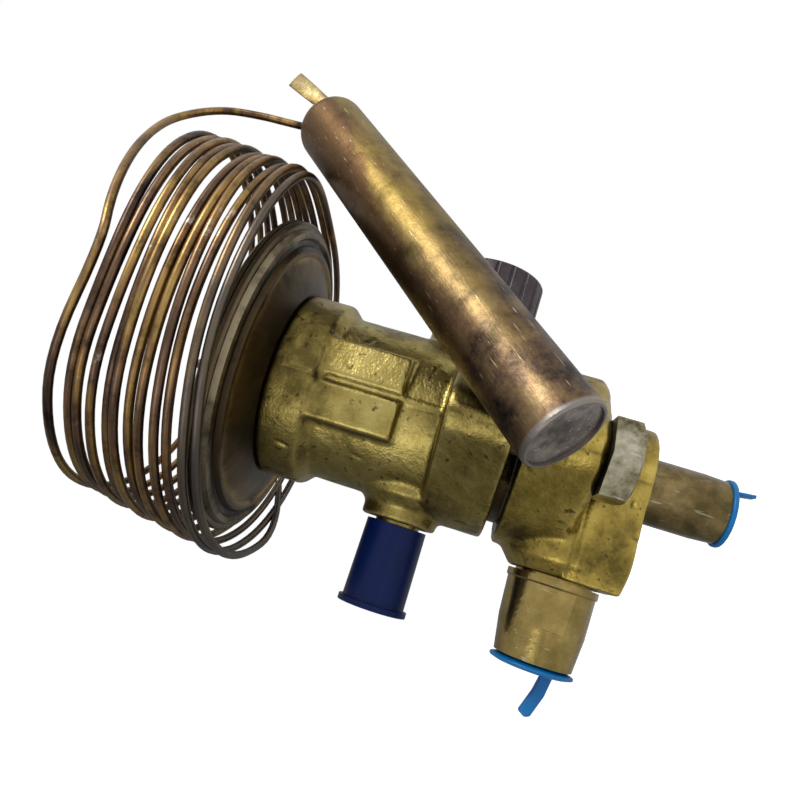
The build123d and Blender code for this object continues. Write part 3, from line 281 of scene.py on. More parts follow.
# broken line of dirt along the seam's edge
SEAM_EDGE_X = 1.1
SEAM_DIRT_WIDTH = 0.5
SEAM_DIRT_BREAKS = 3
SEAM_DIRT_MEAN = 0.55
SEAM_DIRT_SWING = 0.9
SEAM_FACING = 0.4
# cove on both faces of the web, just under the lower flange
COVE_Z = 22.6
COVE_HALF_WIDTH = 1.2
COVE_DEPTH = 0.6
COVE_START_X = 2
COVE_FADE = 4
WEB_FACE_Y = 10
# slant of the web's outer corner, beyond the outlet's bore
SLANT_RISE = 2.2
SLANT_START_X = 18
SLANT_RUN = 16
SLANT_TOP_Z = 13.5
SLANT_FADE = 4


def merged_copy(node, name):
    """Copy of a CAD solid as a new piece, with its loose triangles merged."""
    piece = bpy.data.objects.new(name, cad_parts[node].data.copy())
    bpy.context.scene.collection.objects.link(piece)
    pick(piece)
    bpy.ops.object.mode_set(mode="EDIT")
    bpy.ops.mesh.select_all(action="SELECT")
    bpy.ops.mesh.remove_doubles(threshold=MERGE_WITHIN * MM)
    bpy.ops.mesh.normals_make_consistent(inside=False)
    bpy.ops.object.mode_set(mode="OBJECT")
    return piece


def eased_copy(node, name, grid, rounds):
    """Copy of a CAD solid with one even skin, its edges eased as a forging's or moulding's are."""
    piece = merged_copy(node, name)
    skin = piece.modifiers.new("skin", "REMESH")
    skin.mode = "VOXEL"
    skin.voxel_size = grid * MM
    bpy.ops.object.modifier_apply(modifier=skin.name)
    edges = piece.modifiers.new("eased edges", "SMOOTH")
    edges.factor = 0.5
    edges.iterations = rounds
    bpy.ops.object.modifier_apply(modifier=edges.name)
    bpy.ops.object.shade_smooth()
    return piece


def batter(piece, seed, nicks):
    """Press short nicks and soft hollows into a casting's skin, and mark the dirt that sits in them.

    Dirt also lies in a broken line along one edge of the seam."""
    mesh = piece.data
    draw = random.Random(seed)
    places = [vertex.co.copy() for vertex in mesh.vertices]
    normals = [Vector(normal.vector) for normal in mesh.vertex_normals]
    tree = kdtree.KDTree(len(places))
    for index, place in enumerate(places):
        tree.insert(place, index)
    tree.balance()
    sunk = [0.0] * len(places)
    dirt = [0.0] * len(places)
    for _ in range(nicks):
        middle = draw.randrange(len(places))
        along = normals[middle].orthogonal().normalized()
        along.rotate(Matrix.Rotation(draw.uniform(0, math.pi), 3, normals[middle]))
        across = normals[middle].cross(along)
        length = draw.uniform(*NICK_LENGTHS) * MM
        width = draw.uniform(*NICK_WIDTHS) * MM
        depth = draw.uniform(*NICK_DEPTHS) * MM
        bow = draw.uniform(*NICK_BOWS) / length
        soil = draw.uniform(*NICK_SOIL)
        for place, index, _ in tree.find_range(places[middle], length):
            if normals[index].dot(normals[middle]) < NICK_FACING:
                continue
            offset = place - places[middle]
            u = offset.dot(along)
            v = offset.dot(across) - bow * u * u
            reach = (u / length) ** 2 + (v / width) ** 2
            if reach < 1:
                sunk[index] = max(sunk[index], depth * (1 - reach))
                dirt[index] = max(dirt[index], soil * (1 - reach))
    for index, vertex in enumerate(mesh.vertices):
        wide = noise.noise(places[index] / (WIDE_HOLLOW * MM))
        small = noise.noise(places[index] / (SMALL_HOLLOW * MM))
        beside = abs(places[index].x / MM - SEAM_EDGE_X)
        if beside < SEAM_DIRT_WIDTH and abs(normals[index].y) > SEAM_FACING:
            breaks = noise.noise(places[index] / (SEAM_DIRT_BREAKS * MM))
            soil = SEAM_DIRT_MEAN + SEAM_DIRT_SWING * breaks
            dirt[index] = max(dirt[index], soil * (1 - beside / SEAM_DIRT_WIDTH))
        swell = UNEVENNESS * MM * (wide + SMALL_SHARE * small)
        vertex.co = places[index] + normals[index] * (swell - sunk[index])
    attribute = mesh.attributes.new("dirt", "FLOAT", "POINT")
    attribute.data.foreach_set("value", dirt)


def shape_web(piece):
    """Press a cove into the web under the lower flange, and slant the web's outer corner."""
    for vertex in piece.data.vertices:
        x, y, z = vertex.co / MM
        across = 1 - abs(z - COVE_Z) / COVE_HALF_WIDTH
        if across > 0 and abs(y) > WEB_FACE_Y and x > COVE_START_X:
            depth = COVE_DEPTH * ease(across) * ease((x - COVE_START_X) / COVE_FADE)
            vertex.co.y -= math.copysign(depth * MM, y)
        outward = ease((x - SLANT_START_X) / SLANT_RUN)
        vertex.co.z += SLANT_RISE * MM * outward * ease((SLANT_TOP_Z - z) / SLANT_FADE)


power_casting = eased_copy("power_body", "power_casting", CASTING_GRID, rounds=4)
batter(power_casting, seed=3, nicks=95)
lower_casting = eased_copy("lower_body", "lower_casting", CASTING_GRID, rounds=6)
shape_web(lower_casting)
batter(lower_casting, seed=5, nicks=70)
for casting, node, finish_slot in (
    (power_casting, "power_body", "forged_brass"),
    (lower_casting, "lower_body", "bright_brass"),
):
    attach(casting, "valve")
    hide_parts(node)

soft_inlet_plug = eased_copy("inlet_plug", "soft_inlet_plug", PLUG_GRID, rounds=3)
soft_outlet_plug = eased_copy("outlet_plug", "soft_outlet_plug", PLUG_GRID, rounds=3)
for plug, node, cover in (
    (soft_inlet_plug, "inlet_plug", "inlet_cover"),
    (soft_outlet_plug, "outlet_plug", "outlet_cover"),
):
    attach(plug, cover)
    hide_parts(node)


# ---- springs, copied from the CAD ones, one of them cut in two --------------------------------
WIRE_EDGE_ANGLE = 40


def stretched_spring(node, name, moved, cut=None):
    """Copy of a spring, which takes the CAD spring's place; one of its ends is called the moved end.

    With a cut height, only the part between it and the moved end is kept."""
    spring = merged_copy(node, name)
    if cut is not None:
        bpy.ops.object.mode_set(mode="EDIT")
        bpy.ops.mesh.select_all(action="SELECT")
        bpy.ops.mesh.bisect(
            plane_co=(0, 0, cut),
            plane_no=(0, 0, 1),
            use_fill=True,
            clear_inner=moved > cut,
            clear_outer=moved < cut,
        )
        bpy.ops.object.mode_set(mode="OBJECT")
    bpy.ops.object.shade_smooth_by_angle(angle=math.radians(WIRE_EDGE_ANGLE))
    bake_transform(spring)
    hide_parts(node)
    return spring


foot, top = (corner[2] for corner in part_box("superheat_spring"))
middle = (foot + top) / 2
cage_foot, cage_top = (corner[2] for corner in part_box("cage_spring"))
springs = [
    # the superheat spring is cut in two at its middle; on the valve its upper end moves with the needle and
    # its lower end with the seat
    stretched_spring("superheat_spring", "superheat_spring_upper", top, cut=middle),
    stretched_spring("superheat_spring", "superheat_spring_lower", foot, cut=middle),
    stretched_spring("cage_spring", "stretched_cage_spring", cage_top),
]


# ---- materials ------------------------------------------------------------------------------
def cells(size):
    """Scale of a pattern whose cells are this many millimetres across."""
    return 1 / (size * MM)


def dulled(tree, colour, pattern, greys):
    """Colour darkened by a pattern, with the greys that the pattern's levels give."""
    shade = add(tree, "ShaderNodeValToRGB", {"Fac": pattern}, stops=greys)
    product = add(
        tree,
        "ShaderNodeMix",
        {"Factor": 1.0, "A": colour, "B": shade.outputs["Color"]},
        data_type="RGBA",
        blend_type="MULTIPLY",
    )
    return product.outputs["Result"]


def scratched(tree, colour, place, lies, stretch, size, cuts, bare):
    """Colour cut by scratches of bare metal that lie in several ways, and the last scratches' height."""
    for lie in lies:
        tilted = add(
            tree, "ShaderNodeMapping", {"Vector": place, "Rotation": lie, "Scale": (1, 1, stretch)}
        )
        lines = add(
            tree,
            "ShaderNodeTexNoise",
            {"Vector": tilted.outputs["Vector"], "Scale": cells(size), "Detail": 1},
        )
        cut = add(tree, "ShaderNodeValToRGB", {"Fac": lines.outputs["Fac"]}, stops=cuts)
        scored = add(
            tree,
            "ShaderNodeMix",
            {"Factor": cut.outputs["Color"], "A": colour, "B": linear(bare)},
            data_type="RGBA",
        )
        colour = scored.outputs["Result"]
    return colour, lines.outputs["Fac"]


def forged_brass(name, tones, roughness):
    """Hot-forged brass: yellow metal with a shot-blasted skin, brown tarnish, pits, rubbed edges and painted
    shade in its corners.
    """
    dark, base, bright = tones
    material, tree, shader, place = new_material(name)
    tarnish = add(
        tree,
        "ShaderNodeTexNoise",
        {"Vector": place, "Scale": cells(15.15), "Detail": 7, "Roughness": 0.66},
    )
    # the blasted grains are drawn coarser than the real ones, so that they show
    grains = add(
        tree,
        "ShaderNodeTexNoise",
        {"Vector": place, "Scale": cells(0.625), "Detail": 2, "Roughness": 0.6},
    )
    pits = add(
        tree,
        "ShaderNodeTexNoise",
        {"Vector": place, "Scale": cells(1.923), "Detail": 2, "Roughness": 0.6},
    )
    skin = add(
        tree,
        "ShaderNodeValToRGB",
        {"Fac": tarnish.outputs["Fac"]},
        stops=[(0.36, dark), (0.5, base), (0.66, bright)],
    )
    # pits hold brown dirt, as the nicks do
    pitted = add(tree, "ShaderNodeValToRGB", {"Fac": pits.outputs["Fac"]}, stops=[(0.64, 0.0), (0.72, 0.75)])
    nicks = add(tree, "ShaderNodeAttribute", attribute_name="dirt")
    soiled = add(
        tree,
        "ShaderNodeMath",
        {0: pitted.outputs["Color"], 1: nicks.outputs["Fac"]},
        operation="MAXIMUM",
    )
    dirty = add(
        tree,
        "ShaderNodeMix",
        {"Factor": soiled.outputs[0], "A": skin.outputs["Color"], "B": linear("#2c2418")},
        data_type="RGBA",
    )
    # edges rubbed bright by handling
    shape = add(tree, "ShaderNodeNewGeometry")
    edges = add(
        tree, "ShaderNodeValToRGB", {"Fac": shape.outputs["Pointiness"]}, stops=[(0.515, 0.0), (0.56, 0.7)]
    )
    rubbed = add(
        tree,
        "ShaderNodeMix",
        {"Factor": edges.outputs["Color"], "A": dirty.outputs["Result"], "B": linear(bright)},
        data_type="RGBA",
    )
    # painted shade: corners and crevices within 5 mm are darkened by ambient occlusion
    corner = add(tree, "ShaderNodeAmbientOcclusion", {"Distance": 5 * MM}, samples=8)
    corner_shaded = dulled(
        tree, rubbed.outputs["Result"], corner.outputs["AO"], greys=[(0.3, 0.35), (0.85, 1.0)]
    )
    tree.links.new(corner_shaded, shader.inputs["Base Color"])
    shader.inputs["Metallic"].default_value = 1.0
    sheen = add(
        tree,
        "ShaderNodeMapRange",
        {
            "Value": tarnish.outputs["Fac"],
            "From Min": 0.3,
            "From Max": 0.7,
            "To Min": roughness + 0.12,
            "To Max": roughness - 0.06,
        },
    )
    tree.links.new(sheen.outputs["Result"], shader.inputs["Roughness"])
    blasted = add(
        tree, "ShaderNodeBump", {"Height": grains.outputs["Fac"], "Strength": 0.3, "Distance": 0.3 * MM}
    )
    sunk = add(
        tree,
        "ShaderNodeBump",
        {
            "Height": pits.outputs["Fac"],
            "Strength": 0.2,
            "Distance": 0.6 * MM,
            "Normal": blasted.outputs["Normal"],
        },
    )
    tree.links.new(sunk.outputs["Normal"], shader.inputs["Normal"])
    return material


def turned_metal(name, tones, roughness, stain, scratches=0.0, metallic=1.0):
    """Turned or drawn metal: stains of a size in millimetres, fine grit, and pale scratches where worn."""
    dark, base, bright = tones
    material, tree, shader, place = new_material(name)
    stains = add(
        tree,
        "ShaderNodeTexNoise",
        {"Vector": place, "Scale": cells(stain), "Detail": 6, "Roughness": 0.66},
    )
    tint = add(
        tree,
        "ShaderNodeValToRGB",
        {"Fac": stains.outputs["Fac"]},
        stops=[(0.36, dark), (0.5, base), (0.66, bright)],
    )
    # scratches are 0.3 mm wide, wider than the real ones so that they show
    worn, _ = scratched(
        tree,
        tint.outputs["Color"],
        place,
        lies=((0.6, 0.3, 0.2), (2.1, 1.2, 0.9)),
        stretch=0.12,
        size=0.6667,
        cuts=[(0.7, 0.0), (0.76, scratches)],
        bare="#c9c2b4",
    )
    tree.links.new(worn, shader.inputs["Base Color"])
    shader.inputs["Metallic"].default_value = metallic
    sheen = add(
        tree,
        "ShaderNodeMapRange",
        {"Value": stains.outputs["Fac"], "To Min": roughness + 0.12, "To Max": roughness - 0.1},
    )
    tree.links.new(sheen.outputs["Result"], shader.inputs["Roughness"])
    grit = add(tree, "ShaderNodeTexNoise", {"Vector": place, "Scale": cells(1.111), "Detail": 3})
    rough = add(
        tree, "ShaderNodeBump", {"Height": grit.outputs["Fac"], "Strength": 0.18, "Distance": 0.3 * MM}
    )
    tree.links.new(rough.outputs["Normal"], shader.inputs["Normal"])
    return material


BULB_NEAR = (3.2, 47.1, 34.9)
BULB_FAR = (-68.6, 8.2, 110.9)
# the flank that points this way is painted golden as a highlight, and the opposite flank violet-brown as
# shade
HIGHLIGHT_FLANK = (0.62, 0.1, 0.78)


def bulb_tube():
    """Drawn copper tube gone bronze with age and scratched; its colours are painted golden on one flank as a
    highlight and violet-brown on the other as shade.
    """
    material, tree, shader, place = new_material("aged copper bulb tube")
    near = Vector(BULB_NEAR) * MM
    far = Vector(BULB_FAR) * MM
    turn = (far - near).normalized().rotation_difference(Vector((0, 0, 1)))
    flank = turn @ Vector(HIGHLIGHT_FLANK)
    # Z runs along the tube from the crimped end, in metres
    laid = add(
        tree,
        "ShaderNodeMapping",
        {"Vector": place, "Rotation": turn.to_euler(), "Location": -(turn @ near)},
    )
    drawn = add(tree, "ShaderNodeMapping", {"Vector": laid.outputs["Vector"], "Scale": (1, 1, 0.4)})
    clouds = add(
        tree,
        "ShaderNodeTexNoise",
        {"Vector": drawn.outputs["Vector"], "Scale": cells(14.286), "Detail": 7, "Roughness": 0.62},
    )
    side = add(tree, "ShaderNodeVectorMath", {0: laid.outputs["Vector"], 1: flank}, operation="DOT_PRODUCT")
    # the tube is 9 mm in radius, and the clouds shift the flank painted golden as a highlight by 34 mm times
    # their level, which is mostly between 0.3 and 0.7
    drift = add(
        tree,
        "ShaderNodeMath",
        {0: clouds.outputs["Fac"], 1: 34 * MM, 2: side.outputs["Value"]},
        operation="MULTIPLY_ADD",
    )
    across = add(
        tree, "ShaderNodeMapRange", {"Value": drift.outputs[0], "From Min": 7 * MM, "From Max": 27 * MM}
    )
    # painted highlight and painted shade: the aged colours run from violet-brown on one flank to golden on
    # the other
    tint = add(
        tree,
        "ShaderNodeValToRGB",
        {"Fac": across.outputs["Result"]},
        stops=[(0.0, "#3f3530"), (0.26, "#5e4f41"), (0.5, "#7f6b3b"), (0.75, "#8b763f"), (1.0, "#624a30")],
    )
    # brown and slate stains at the crimped end, which fade out from about 17 to 60 mm along the tube
    along = add(tree, "ShaderNodeSeparateXYZ", {"Vector": laid.outputs["Vector"]})
    reach = add(
        tree,
        "ShaderNodeMath",
        {0: clouds.outputs["Fac"], 1: 90 * MM, 2: along.outputs["Z"]},
        operation="MULTIPLY_ADD",
    )
    toned = add(
        tree,
        "ShaderNodeMapRange",
        {
            "Value": reach.outputs[0],
            "From Min": 62 * MM,
            "From Max": 105 * MM,
            "To Min": 0.95,
            "To Max": 0.0,
        },
    )
    patches = add(
        tree,
        "ShaderNodeTexNoise",
        {"Vector": laid.outputs["Vector"], "Scale": cells(8.333), "Detail": 8, "Roughness": 0.7},
    )
    soot = add(
        tree,
        "ShaderNodeValToRGB",
        {"Fac": patches.outputs["Fac"]},
        stops=[(0.37, "#2b2827"), (0.47, "#54453a"), (0.56, "#6f5a42"), (0.66, "#7d6a4c")],
    )
    stained = add(
        tree,
        "ShaderNodeMix",
        {"Factor": toned.outputs["Result"], "A": tint.outputs["Color"], "B": soot.outputs["Color"]},
        data_type="RGBA",
    )
    aged = dulled(
        tree,
        stained.outputs["Result"],
        patches.outputs["Fac"],
        greys=[(0.34, 0.5), (0.48, 0.88), (0.62, 1.0)],
    )
    # scratches are 0.2 mm wide and a few millimetres long, at a slant to the tube
    worn, scores = scratched(
        tree,
        aged,
        laid.outputs["Vector"],
        lies=((0.35, 0.1, 0.0), (-0.5, 0.45, 0.0)),
        stretch=0.09,
        size=0.5263,
        cuts=[(0.74, 0.0), (0.8, 0.6)],
        bare="#d2c6a6",
    )
    # the crimped lip, about 1 mm wide, is bare grey metal
    lip = add(
        tree,
        "ShaderNodeMapRange",
        {
            "Value": along.outputs["Z"],
            "From Min": 0.9 * MM,
            "From Max": 1.5 * MM,
            "To Min": 0.8,
            "To Max": 0.0,
        },
    )
    lipped = add(
        tree,
        "ShaderNodeMix",
        {"Factor": lip.outputs["Result"], "A": worn, "B": linear("#8a847e")},
        data_type="RGBA",
    )
    tree.links.new(lipped.outputs["Result"], shader.inputs["Base Color"])
    shader.inputs["Metallic"].default_value = 1.0
    sheen = add(tree, "ShaderNodeMapRange", {"Value": patches.outputs["Fac"], "To Min": 0.55, "To Max": 0.3})
    tree.links.new(sheen.outputs["Result"], shader.inputs["Roughness"])
    dents = add(
        tree, "ShaderNodeBump", {"Height": patches.outputs["Fac"], "Strength": 0.22, "Distance": 0.8 * MM}
    )
    fine = add(
        tree,
        "ShaderNodeBump",
        {
            "Height": scores,
            "Strength": 0.15,
            "Distance": 0.2 * MM,
            "Normal": dents.outputs["Normal"],
        },
    )
    tree.links.new(fine.outputs["Normal"], shader.inputs["Normal"])
    return material


def head_shell():
    """Pressed steel shell, browned, with its rings painted bright, partly as wear where they stand proud and
    partly as highlight, and a dark ring of painted shade between them.
    """
    material, tree, shader, place = new_material("browned pressed steel")
    flat = add(tree, "ShaderNodeVectorMath", {0: place, 1: (1, 1, 0)}, operation="MULTIPLY")
    out = add(tree, "ShaderNodeVectorMath", {0: flat.outputs["Vector"]}, operation="LENGTH")
    patches = add(
        tree,
        "ShaderNodeTexNoise",
        {"Vector": place, "Scale": cells(11.765), "Detail": 7, "Roughness": 0.68},
    )
    # the rings' edges wander by up to 3 mm in and out
    drift = add(tree, "ShaderNodeMath", {0: patches.outputs["Fac"], 1: 0.5}, operation="SUBTRACT")
    wander = add(
        tree,
        "ShaderNodeMath",
        {0: drift.outputs[0], 1: 6 * MM, 2: out.outputs["Value"]},
        operation="MULTIPLY_ADD",
    )
    rings = add(
        tree, "ShaderNodeMapRange", {"Value": wander.outputs[0], "From Min": 20 * MM, "From Max": 41 * MM}
    )
    # painted highlight and painted shade: the bright rings at 0.64 and 0.9 stand partly for wear and partly
    # for highlight, and the dark ring at 0.77 for shade in the groove
    tint = add(
        tree,
        "ShaderNodeValToRGB",
        {"Fac": rings.outputs["Result"]},
        stops=[
            (0.0, "#2c261e"),
            (0.3, "#453a2a"),
            (0.56, "#5d4c30"),
            (0.64, "#8a7446"),
            (0.7, "#4a3d2b"),
            (0.77, "#241f1a"),
            (0.84, "#63563f"),
            (0.9, "#8d8169"),
            (1.0, "#5a4c3a"),
        ],
    )
    browned = dulled(
        tree,
        tint.outputs["Color"],
        patches.outputs["Fac"],
        greys=[(0.36, 0.45), (0.52, 0.9), (0.68, 1.0)],
    )
    tree.links.new(browned, shader.inputs["Base Color"])
    shader.inputs["Metallic"].default_value = 1.0
    sheen = add(tree, "ShaderNodeMapRange", {"Value": patches.outputs["Fac"], "To Min": 0.55, "To Max": 0.25})
    tree.links.new(sheen.outputs["Result"], shader.inputs["Roughness"])
    dents = add(
        tree, "ShaderNodeBump", {"Height": patches.outputs["Fac"], "Strength": 0.25, "Distance": 0.8 * MM}
    )
    tree.links.new(dents.outputs["Normal"], shader.inputs["Normal"])
    return material


def capillary_copper():
    """Drawn copper capillary, darkened in use: bronze, violet-brown and rubbed grey from turn to turn."""
    material, tree, shader, place = new_material("darkened copper capillary")
    # a turn is 2 mm thick, so the tint changes over about 3 mm across turns and 34 mm along them
    across = add(tree, "ShaderNodeMapping", {"Vector": place, "Scale": (0.09, 0.09, 1)})
    turns = add(
        tree, "ShaderNodeTexNoise", {"Vector": across.outputs["Vector"], "Scale": cells(3.03), "Detail": 3}
    )
    tint = add(
        tree,
        "ShaderNodeValToRGB",
        {"Fac": turns.outputs["Fac"]},
        stops=[(0.3, "#3f332d"), (0.42, "#6b5443"), (0.52, "#8a6c46"), (0.6, "#a3854f"), (0.72, "#6f5848")],
    )
    stains = add(
        tree,
        "ShaderNodeTexNoise",
        {"Vector": place, "Scale": cells(7.143), "Detail": 7, "Roughness": 0.7},
    )
    darkened = dulled(
        tree,
        tint.outputs["Color"],
        stains.outputs["Fac"],
        greys=[(0.34, 0.35), (0.5, 0.85), (0.64, 1.0)],
    )
    # patches rubbed to bare grey metal, a few millimetres long
    rubs = add(
        tree,
        "ShaderNodeTexNoise",
        {"Vector": place, "Scale": cells(10.526), "Detail": 5, "Roughness": 0.75},
    )
    bare = add(tree, "ShaderNodeValToRGB", {"Fac": rubs.outputs["Fac"]}, stops=[(0.62, 0.0), (0.7, 0.75)])
    worn = add(
        tree,
        "ShaderNodeMix",
        {"Factor": bare.outputs["Color"], "A": darkened, "B": linear("#a39c90")},
        data_type="RGBA",
    )
    # the turns lowest on the coil, nearest the head, are greyer and darker
    height = add(tree, "ShaderNodeSeparateXYZ", {"Vector": place})
    lowest_turns = add(
        tree,
        "ShaderNodeMapRange",
        {
            "Value": height.outputs["Z"],
            "From Min": 105 * MM,
            "From Max": 109 * MM,
            "To Min": 0.8,
            "To Max": 0.0,
        },
    )
    toned = add(
        tree,
        "ShaderNodeMix",
        {"Factor": lowest_turns.outputs["Result"], "A": worn.outputs["Result"], "B": linear("#514e4b")},
        data_type="RGBA",
    )
    tree.links.new(toned.outputs["Result"], shader.inputs["Base Color"])
    shader.inputs["Metallic"].default_value = 1.0
    sheen = add(tree, "ShaderNodeMapRange", {"Value": stains.outputs["Fac"], "To Min": 0.5, "To Max": 0.26})
    tree.links.new(sheen.outputs["Result"], shader.inputs["Roughness"])
    return material


def moulded_plastic(name, tones, roughness, gloss):
    """Moulded plastic, rubber or fibre: soft, even colour, faint flow marks and a sheen set by its gloss."""
    material, tree, shader, place = new_material(name)
    cloud = add(tree, "ShaderNodeTexNoise", {"Vector": place, "Scale": cells(6.25), "Detail": 3})
    colour = add(
        tree,
        "ShaderNodeMix",
        {"Factor": cloud.outputs["Fac"], "A": linear(tones[0]), "B": linear(tones[1])},
        data_type="RGBA",
    )
    tree.links.new(colour.outputs["Result"], shader.inputs["Base Color"])
    shader.inputs["Roughness"].default_value = roughness
    shader.inputs["IOR"].default_value = 1.5
    shader.inputs["Specular IOR Level"].default_value = gloss
    ripple = add(
        tree, "ShaderNodeBump", {"Height": cloud.outputs["Fac"], "Strength": 0.15, "Distance": 0.6 * MM}
    )
    tree.links.new(ripple.outputs["Normal"], shader.inputs["Normal"])
    return material


# every metal's tones run from its dark stains to its clean skin
body_brass = forged_brass("shot-blasted forged brass", ("#5e522c", "#8c7d45", "#ab9b5e"), 0.31)
valve_brass = forged_brass("forged brass, brighter", ("#5c4f27", "#998541", "#bca558"), 0.29)
# painted shade: the cage between the two flanges gets near-black brown tones that stand for the shade in the
# gap between them
shade_darkened_cage_brass = forged_brass("brown brass darkened as painted shade", ("#1f1912", "#43371f", "#655433"), 0.4)
plain_brass = turned_metal("turned brass", ("#6a5c30", "#948548", "#b3a25e"), 0.3, stain=9)
inlet_bronze = turned_metal(
    "turned bronze, pitted", ("#4f4529", "#655739", "#7d6d48"), 0.22, stain=6, scratches=0.3
)
outlet_bronze = turned_metal(
    "turned bronze", ("#77683c", "#8c7946", "#a08d57"), 0.21, stain=9, scratches=0.3
)
plain_steel = turned_metal("turned steel", ("#66676a", "#8f9092", "#b0b1b3"), 0.32, stain=9)
bolt_zinc = turned_metal(
    "zinc-plated steel", ("#4f4934", "#878169", "#a8a492"), 0.36, stain=5, scratches=0.5
)
crimped_disc = turned_metal(
    "oxidised copper disc", ("#57504d", "#7b726e", "#9c9590"), 0.42, stain=5, scratches=0.7
)
pinched_stub = turned_metal(
    "pinched copper stub", ("#6a5836", "#8d7c54", "#a6966c"), 0.36, stain=5, scratches=0.4
)
cap_brown = turned_metal(
    "brown lacquered cap", ("#2a2225", "#3a3033", "#4c4145"), 0.42, stain=9, metallic=0.4
)
bulb_copper = bulb_tube()
head_steel = head_shell()
tube_copper = capillary_copper()
blue_polyethylene = moulded_plastic("blue polyethylene", ("#00609c", "#005a94"), 0.4, gloss=0.3)
navy_polyethylene = moulded_plastic("navy polyethylene", ("#000f38", "#001546"), 0.34, gloss=0.16)
black_rubber = moulded_plastic("nitrile rubber", ("#1c1c1c", "#242424"), 0.6, gloss=0.5)
pressed_fibre = moulded_plastic("pressed fibre gasket", ("#3d3a32", "#4c483c"), 0.85, gloss=0.3)

FINISHES = {
    shade_darkened_cage_brass: ["cage_body"],
    plain_brass: ["equalizer_fitting", "spring_retainer", "gland_nut", "capillary_nipple"],
    inlet_bronze: ["inlet_connector"],
    outlet_bronze: ["outlet_connector"],
    pinched_stub: ["charge_stub"],
    plain_steel: [
        "seat_ring",
        "valve_needle",
        "push_rod",
        "crown_gear",
        "adjusting_stem",
        "spring_seat",
        "buffer_plate",
        "diaphragm",
    ],
    bolt_zinc: ["flange_bolts"],
    bulb_copper: ["bulb_shell"],
    crimped_disc: ["bulb_end_cap"],
    head_steel: ["head_base", "head_cover"],
    cap_brown: ["seal_cap"],
    navy_polyethylene: ["equalizer_cap"],
    black_rubber: ["rod_seal", "stem_packing"],
    pressed_fibre: ["lower_gasket", "upper_gasket", "seat_gasket", "cap_gasket"],
}


for finish, names in FINISHES.items():
    for node_name in names:
        wear(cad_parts[node_name], finish)
wear(capillary, tube_copper)
wear(power_casting, body_brass)
wear(lower_casting, valve_brass)
for spring in springs:
    wear(spring, plain_steel)
wear(soft_inlet_plug, blue_polyethylene)
wear(soft_outlet_plug, blue_polyethylene)


# ---- floor, background and lamps --------------------------------------------------------------
# sizes and places in this part are in metres
FLOOR_SIZE = 6
FLOOR_Z = -0.07
LAMPS_AIM = (0, 0, 0.06)
FLOOR_GLOW = 0.5
STUDIO_LIGHT = 0.55
# direction of the key lamp's side; reflections grey away from it, so that round metal is shaded
KEY_SIDE = (-0.72, 0.66, 0.20)


def ray_kinds(tree):
    """Two sockets: 1 for rays that the eye sees by, straight or through glass, and 1 for reflections."""
    path = add(tree, "ShaderNodeLightPath")
    seen = add(
        tree,
        "ShaderNodeMath",
        {0: path.outputs["Is Camera Ray"], 1: path.outputs["Is Transmission Ray"]},
        operation="MAXIMUM",
    )
    return seen.outputs[0], path.outputs["Is Glossy Ray"]


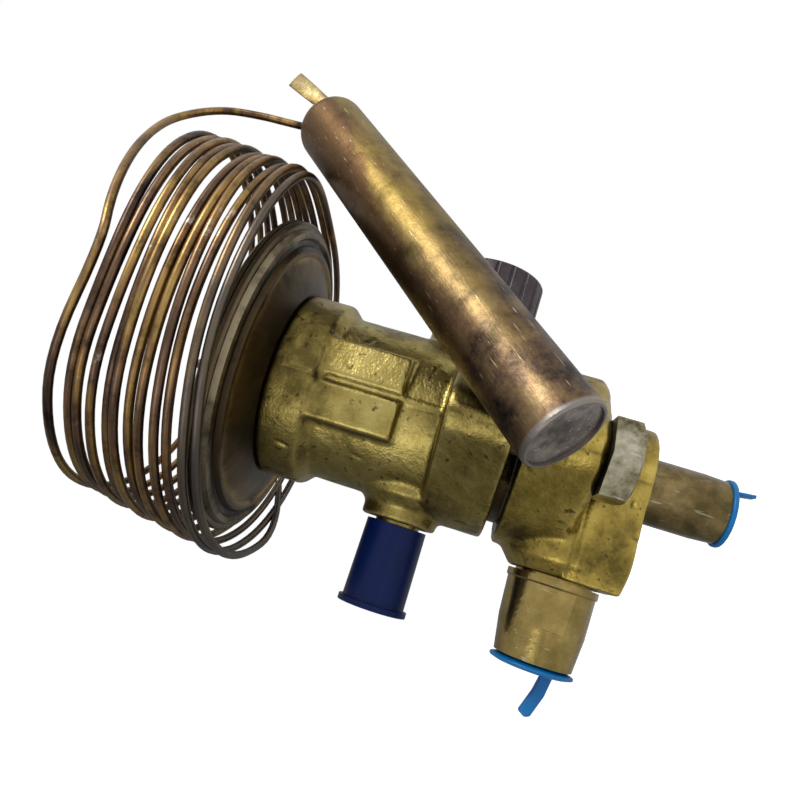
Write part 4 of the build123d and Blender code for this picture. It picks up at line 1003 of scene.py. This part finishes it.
def plain_floor():
    """Pale floor that reads white, and still darkens where the object shades it; in reflections its colour is
    painted grey away from the key lamp's side, as shade.
    """
    bpy.ops.object.select_all(action="DESELECT")
    bpy.ops.mesh.primitive_plane_add(size=FLOOR_SIZE, location=(0, 0, FLOOR_Z))
    floor = bpy.context.object
    floor.name = "floor"
    material, tree, shader, place = new_material("pale floor")
    shader.inputs["Roughness"].default_value = 0.9
    seen, mirrored = ray_kinds(tree)
    # painted shade: seen in reflections, the floor's colour greys from near white to 0.45 away from the key
    # lamp's side
    toward = add(tree, "ShaderNodeVectorMath", {0: place, 1: KEY_SIDE}, operation="DOT_PRODUCT")
    grey = add(
        tree,
        "ShaderNodeMapRange",
        {
            "Value": toward.outputs["Value"],
            "From Min": -0.2,
            "From Max": 0.12,
            "To Min": 0.45,
            "To Max": 1.0,
        },
    )
    colour = add(
        tree,
        "ShaderNodeMix",
        {"Factor": mirrored, "A": linear("#f4f4f2"), "B": grey.outputs["Result"]},
        data_type="RGBA",
    )
    tree.links.new(colour.outputs["Result"], shader.inputs["Base Color"])
    lift = add(tree, "ShaderNodeMath", {0: seen, 1: FLOOR_GLOW}, operation="MULTIPLY")
    glow = add(tree, "ShaderNodeEmission", {"Strength": lift.outputs[0]})
    both = add(tree, "ShaderNodeAddShader", {0: shader.outputs["BSDF"], 1: glow.outputs["Emission"]})
    ends = [node for node in tree.nodes if node.type == "OUTPUT_MATERIAL"]
    tree.links.new(both.outputs["Shader"], ends[0].inputs["Surface"])
    wear(floor, material)


def soft_world():
    """White studio; in reflections it falls off to grey on the side away from the key lamp."""
    world = bpy.data.worlds.new("studio")
    bpy.context.scene.world = world
    world.use_nodes = True
    tree = world.node_tree
    tree.nodes.clear()
    look = add(tree, "ShaderNodeTexCoord").outputs["Generated"]
    toward = add(tree, "ShaderNodeVectorMath", {0: look, 1: KEY_SIDE}, operation="DOT_PRODUCT")
    studio = add(
        tree,
        "ShaderNodeMapRange",
        {
            "Value": toward.outputs["Value"],
            "From Min": -0.7,
            "From Max": 0.8,
            "To Min": 0.2,
            "To Max": 1.05,
        },
    )
    seen, mirrored = ray_kinds(tree)
    plain = add(
        tree,
        "ShaderNodeMix",
        {"Factor": mirrored, "A": STUDIO_LIGHT, "B": studio.outputs["Result"]},
        data_type="FLOAT",
    )
    level = add(
        tree, "ShaderNodeMix", {"Factor": seen, "A": plain.outputs["Result"], "B": 1.0}, data_type="FLOAT"
    )
    shine = add(
        tree, "ShaderNodeBackground", {"Color": (1, 1, 1, 1), "Strength": level.outputs["Result"]}
    )
    add(tree, "ShaderNodeOutputWorld", {"Surface": shine.outputs["Background"]})


def lamp(name, place, size, power):
    """Round area lamp of a size in metres and a power in watts, aimed at the object's middle."""
    data = bpy.data.lights.new(name, "AREA")
    data.shape = "DISK"
    data.size = size
    data.energy = power
    light = bpy.data.objects.new(name, data)
    light.location = place
    aim = Vector(LAMPS_AIM) - Vector(place)
    light.rotation_euler = aim.to_track_quat("-Z", "Y").to_euler()
    bpy.context.scene.collection.objects.link(light)


plain_floor()
soft_world()
lamp("key lamp", place=(-0.45, 0.5, 0.55), size=0.28, power=5.0)
lamp("fill lamp", place=(0.5, 0.6, 0.2), size=0.5, power=1.2)
bpy.context.scene.view_settings.view_transform = "Standard"

bpy.context.view_layer.update()
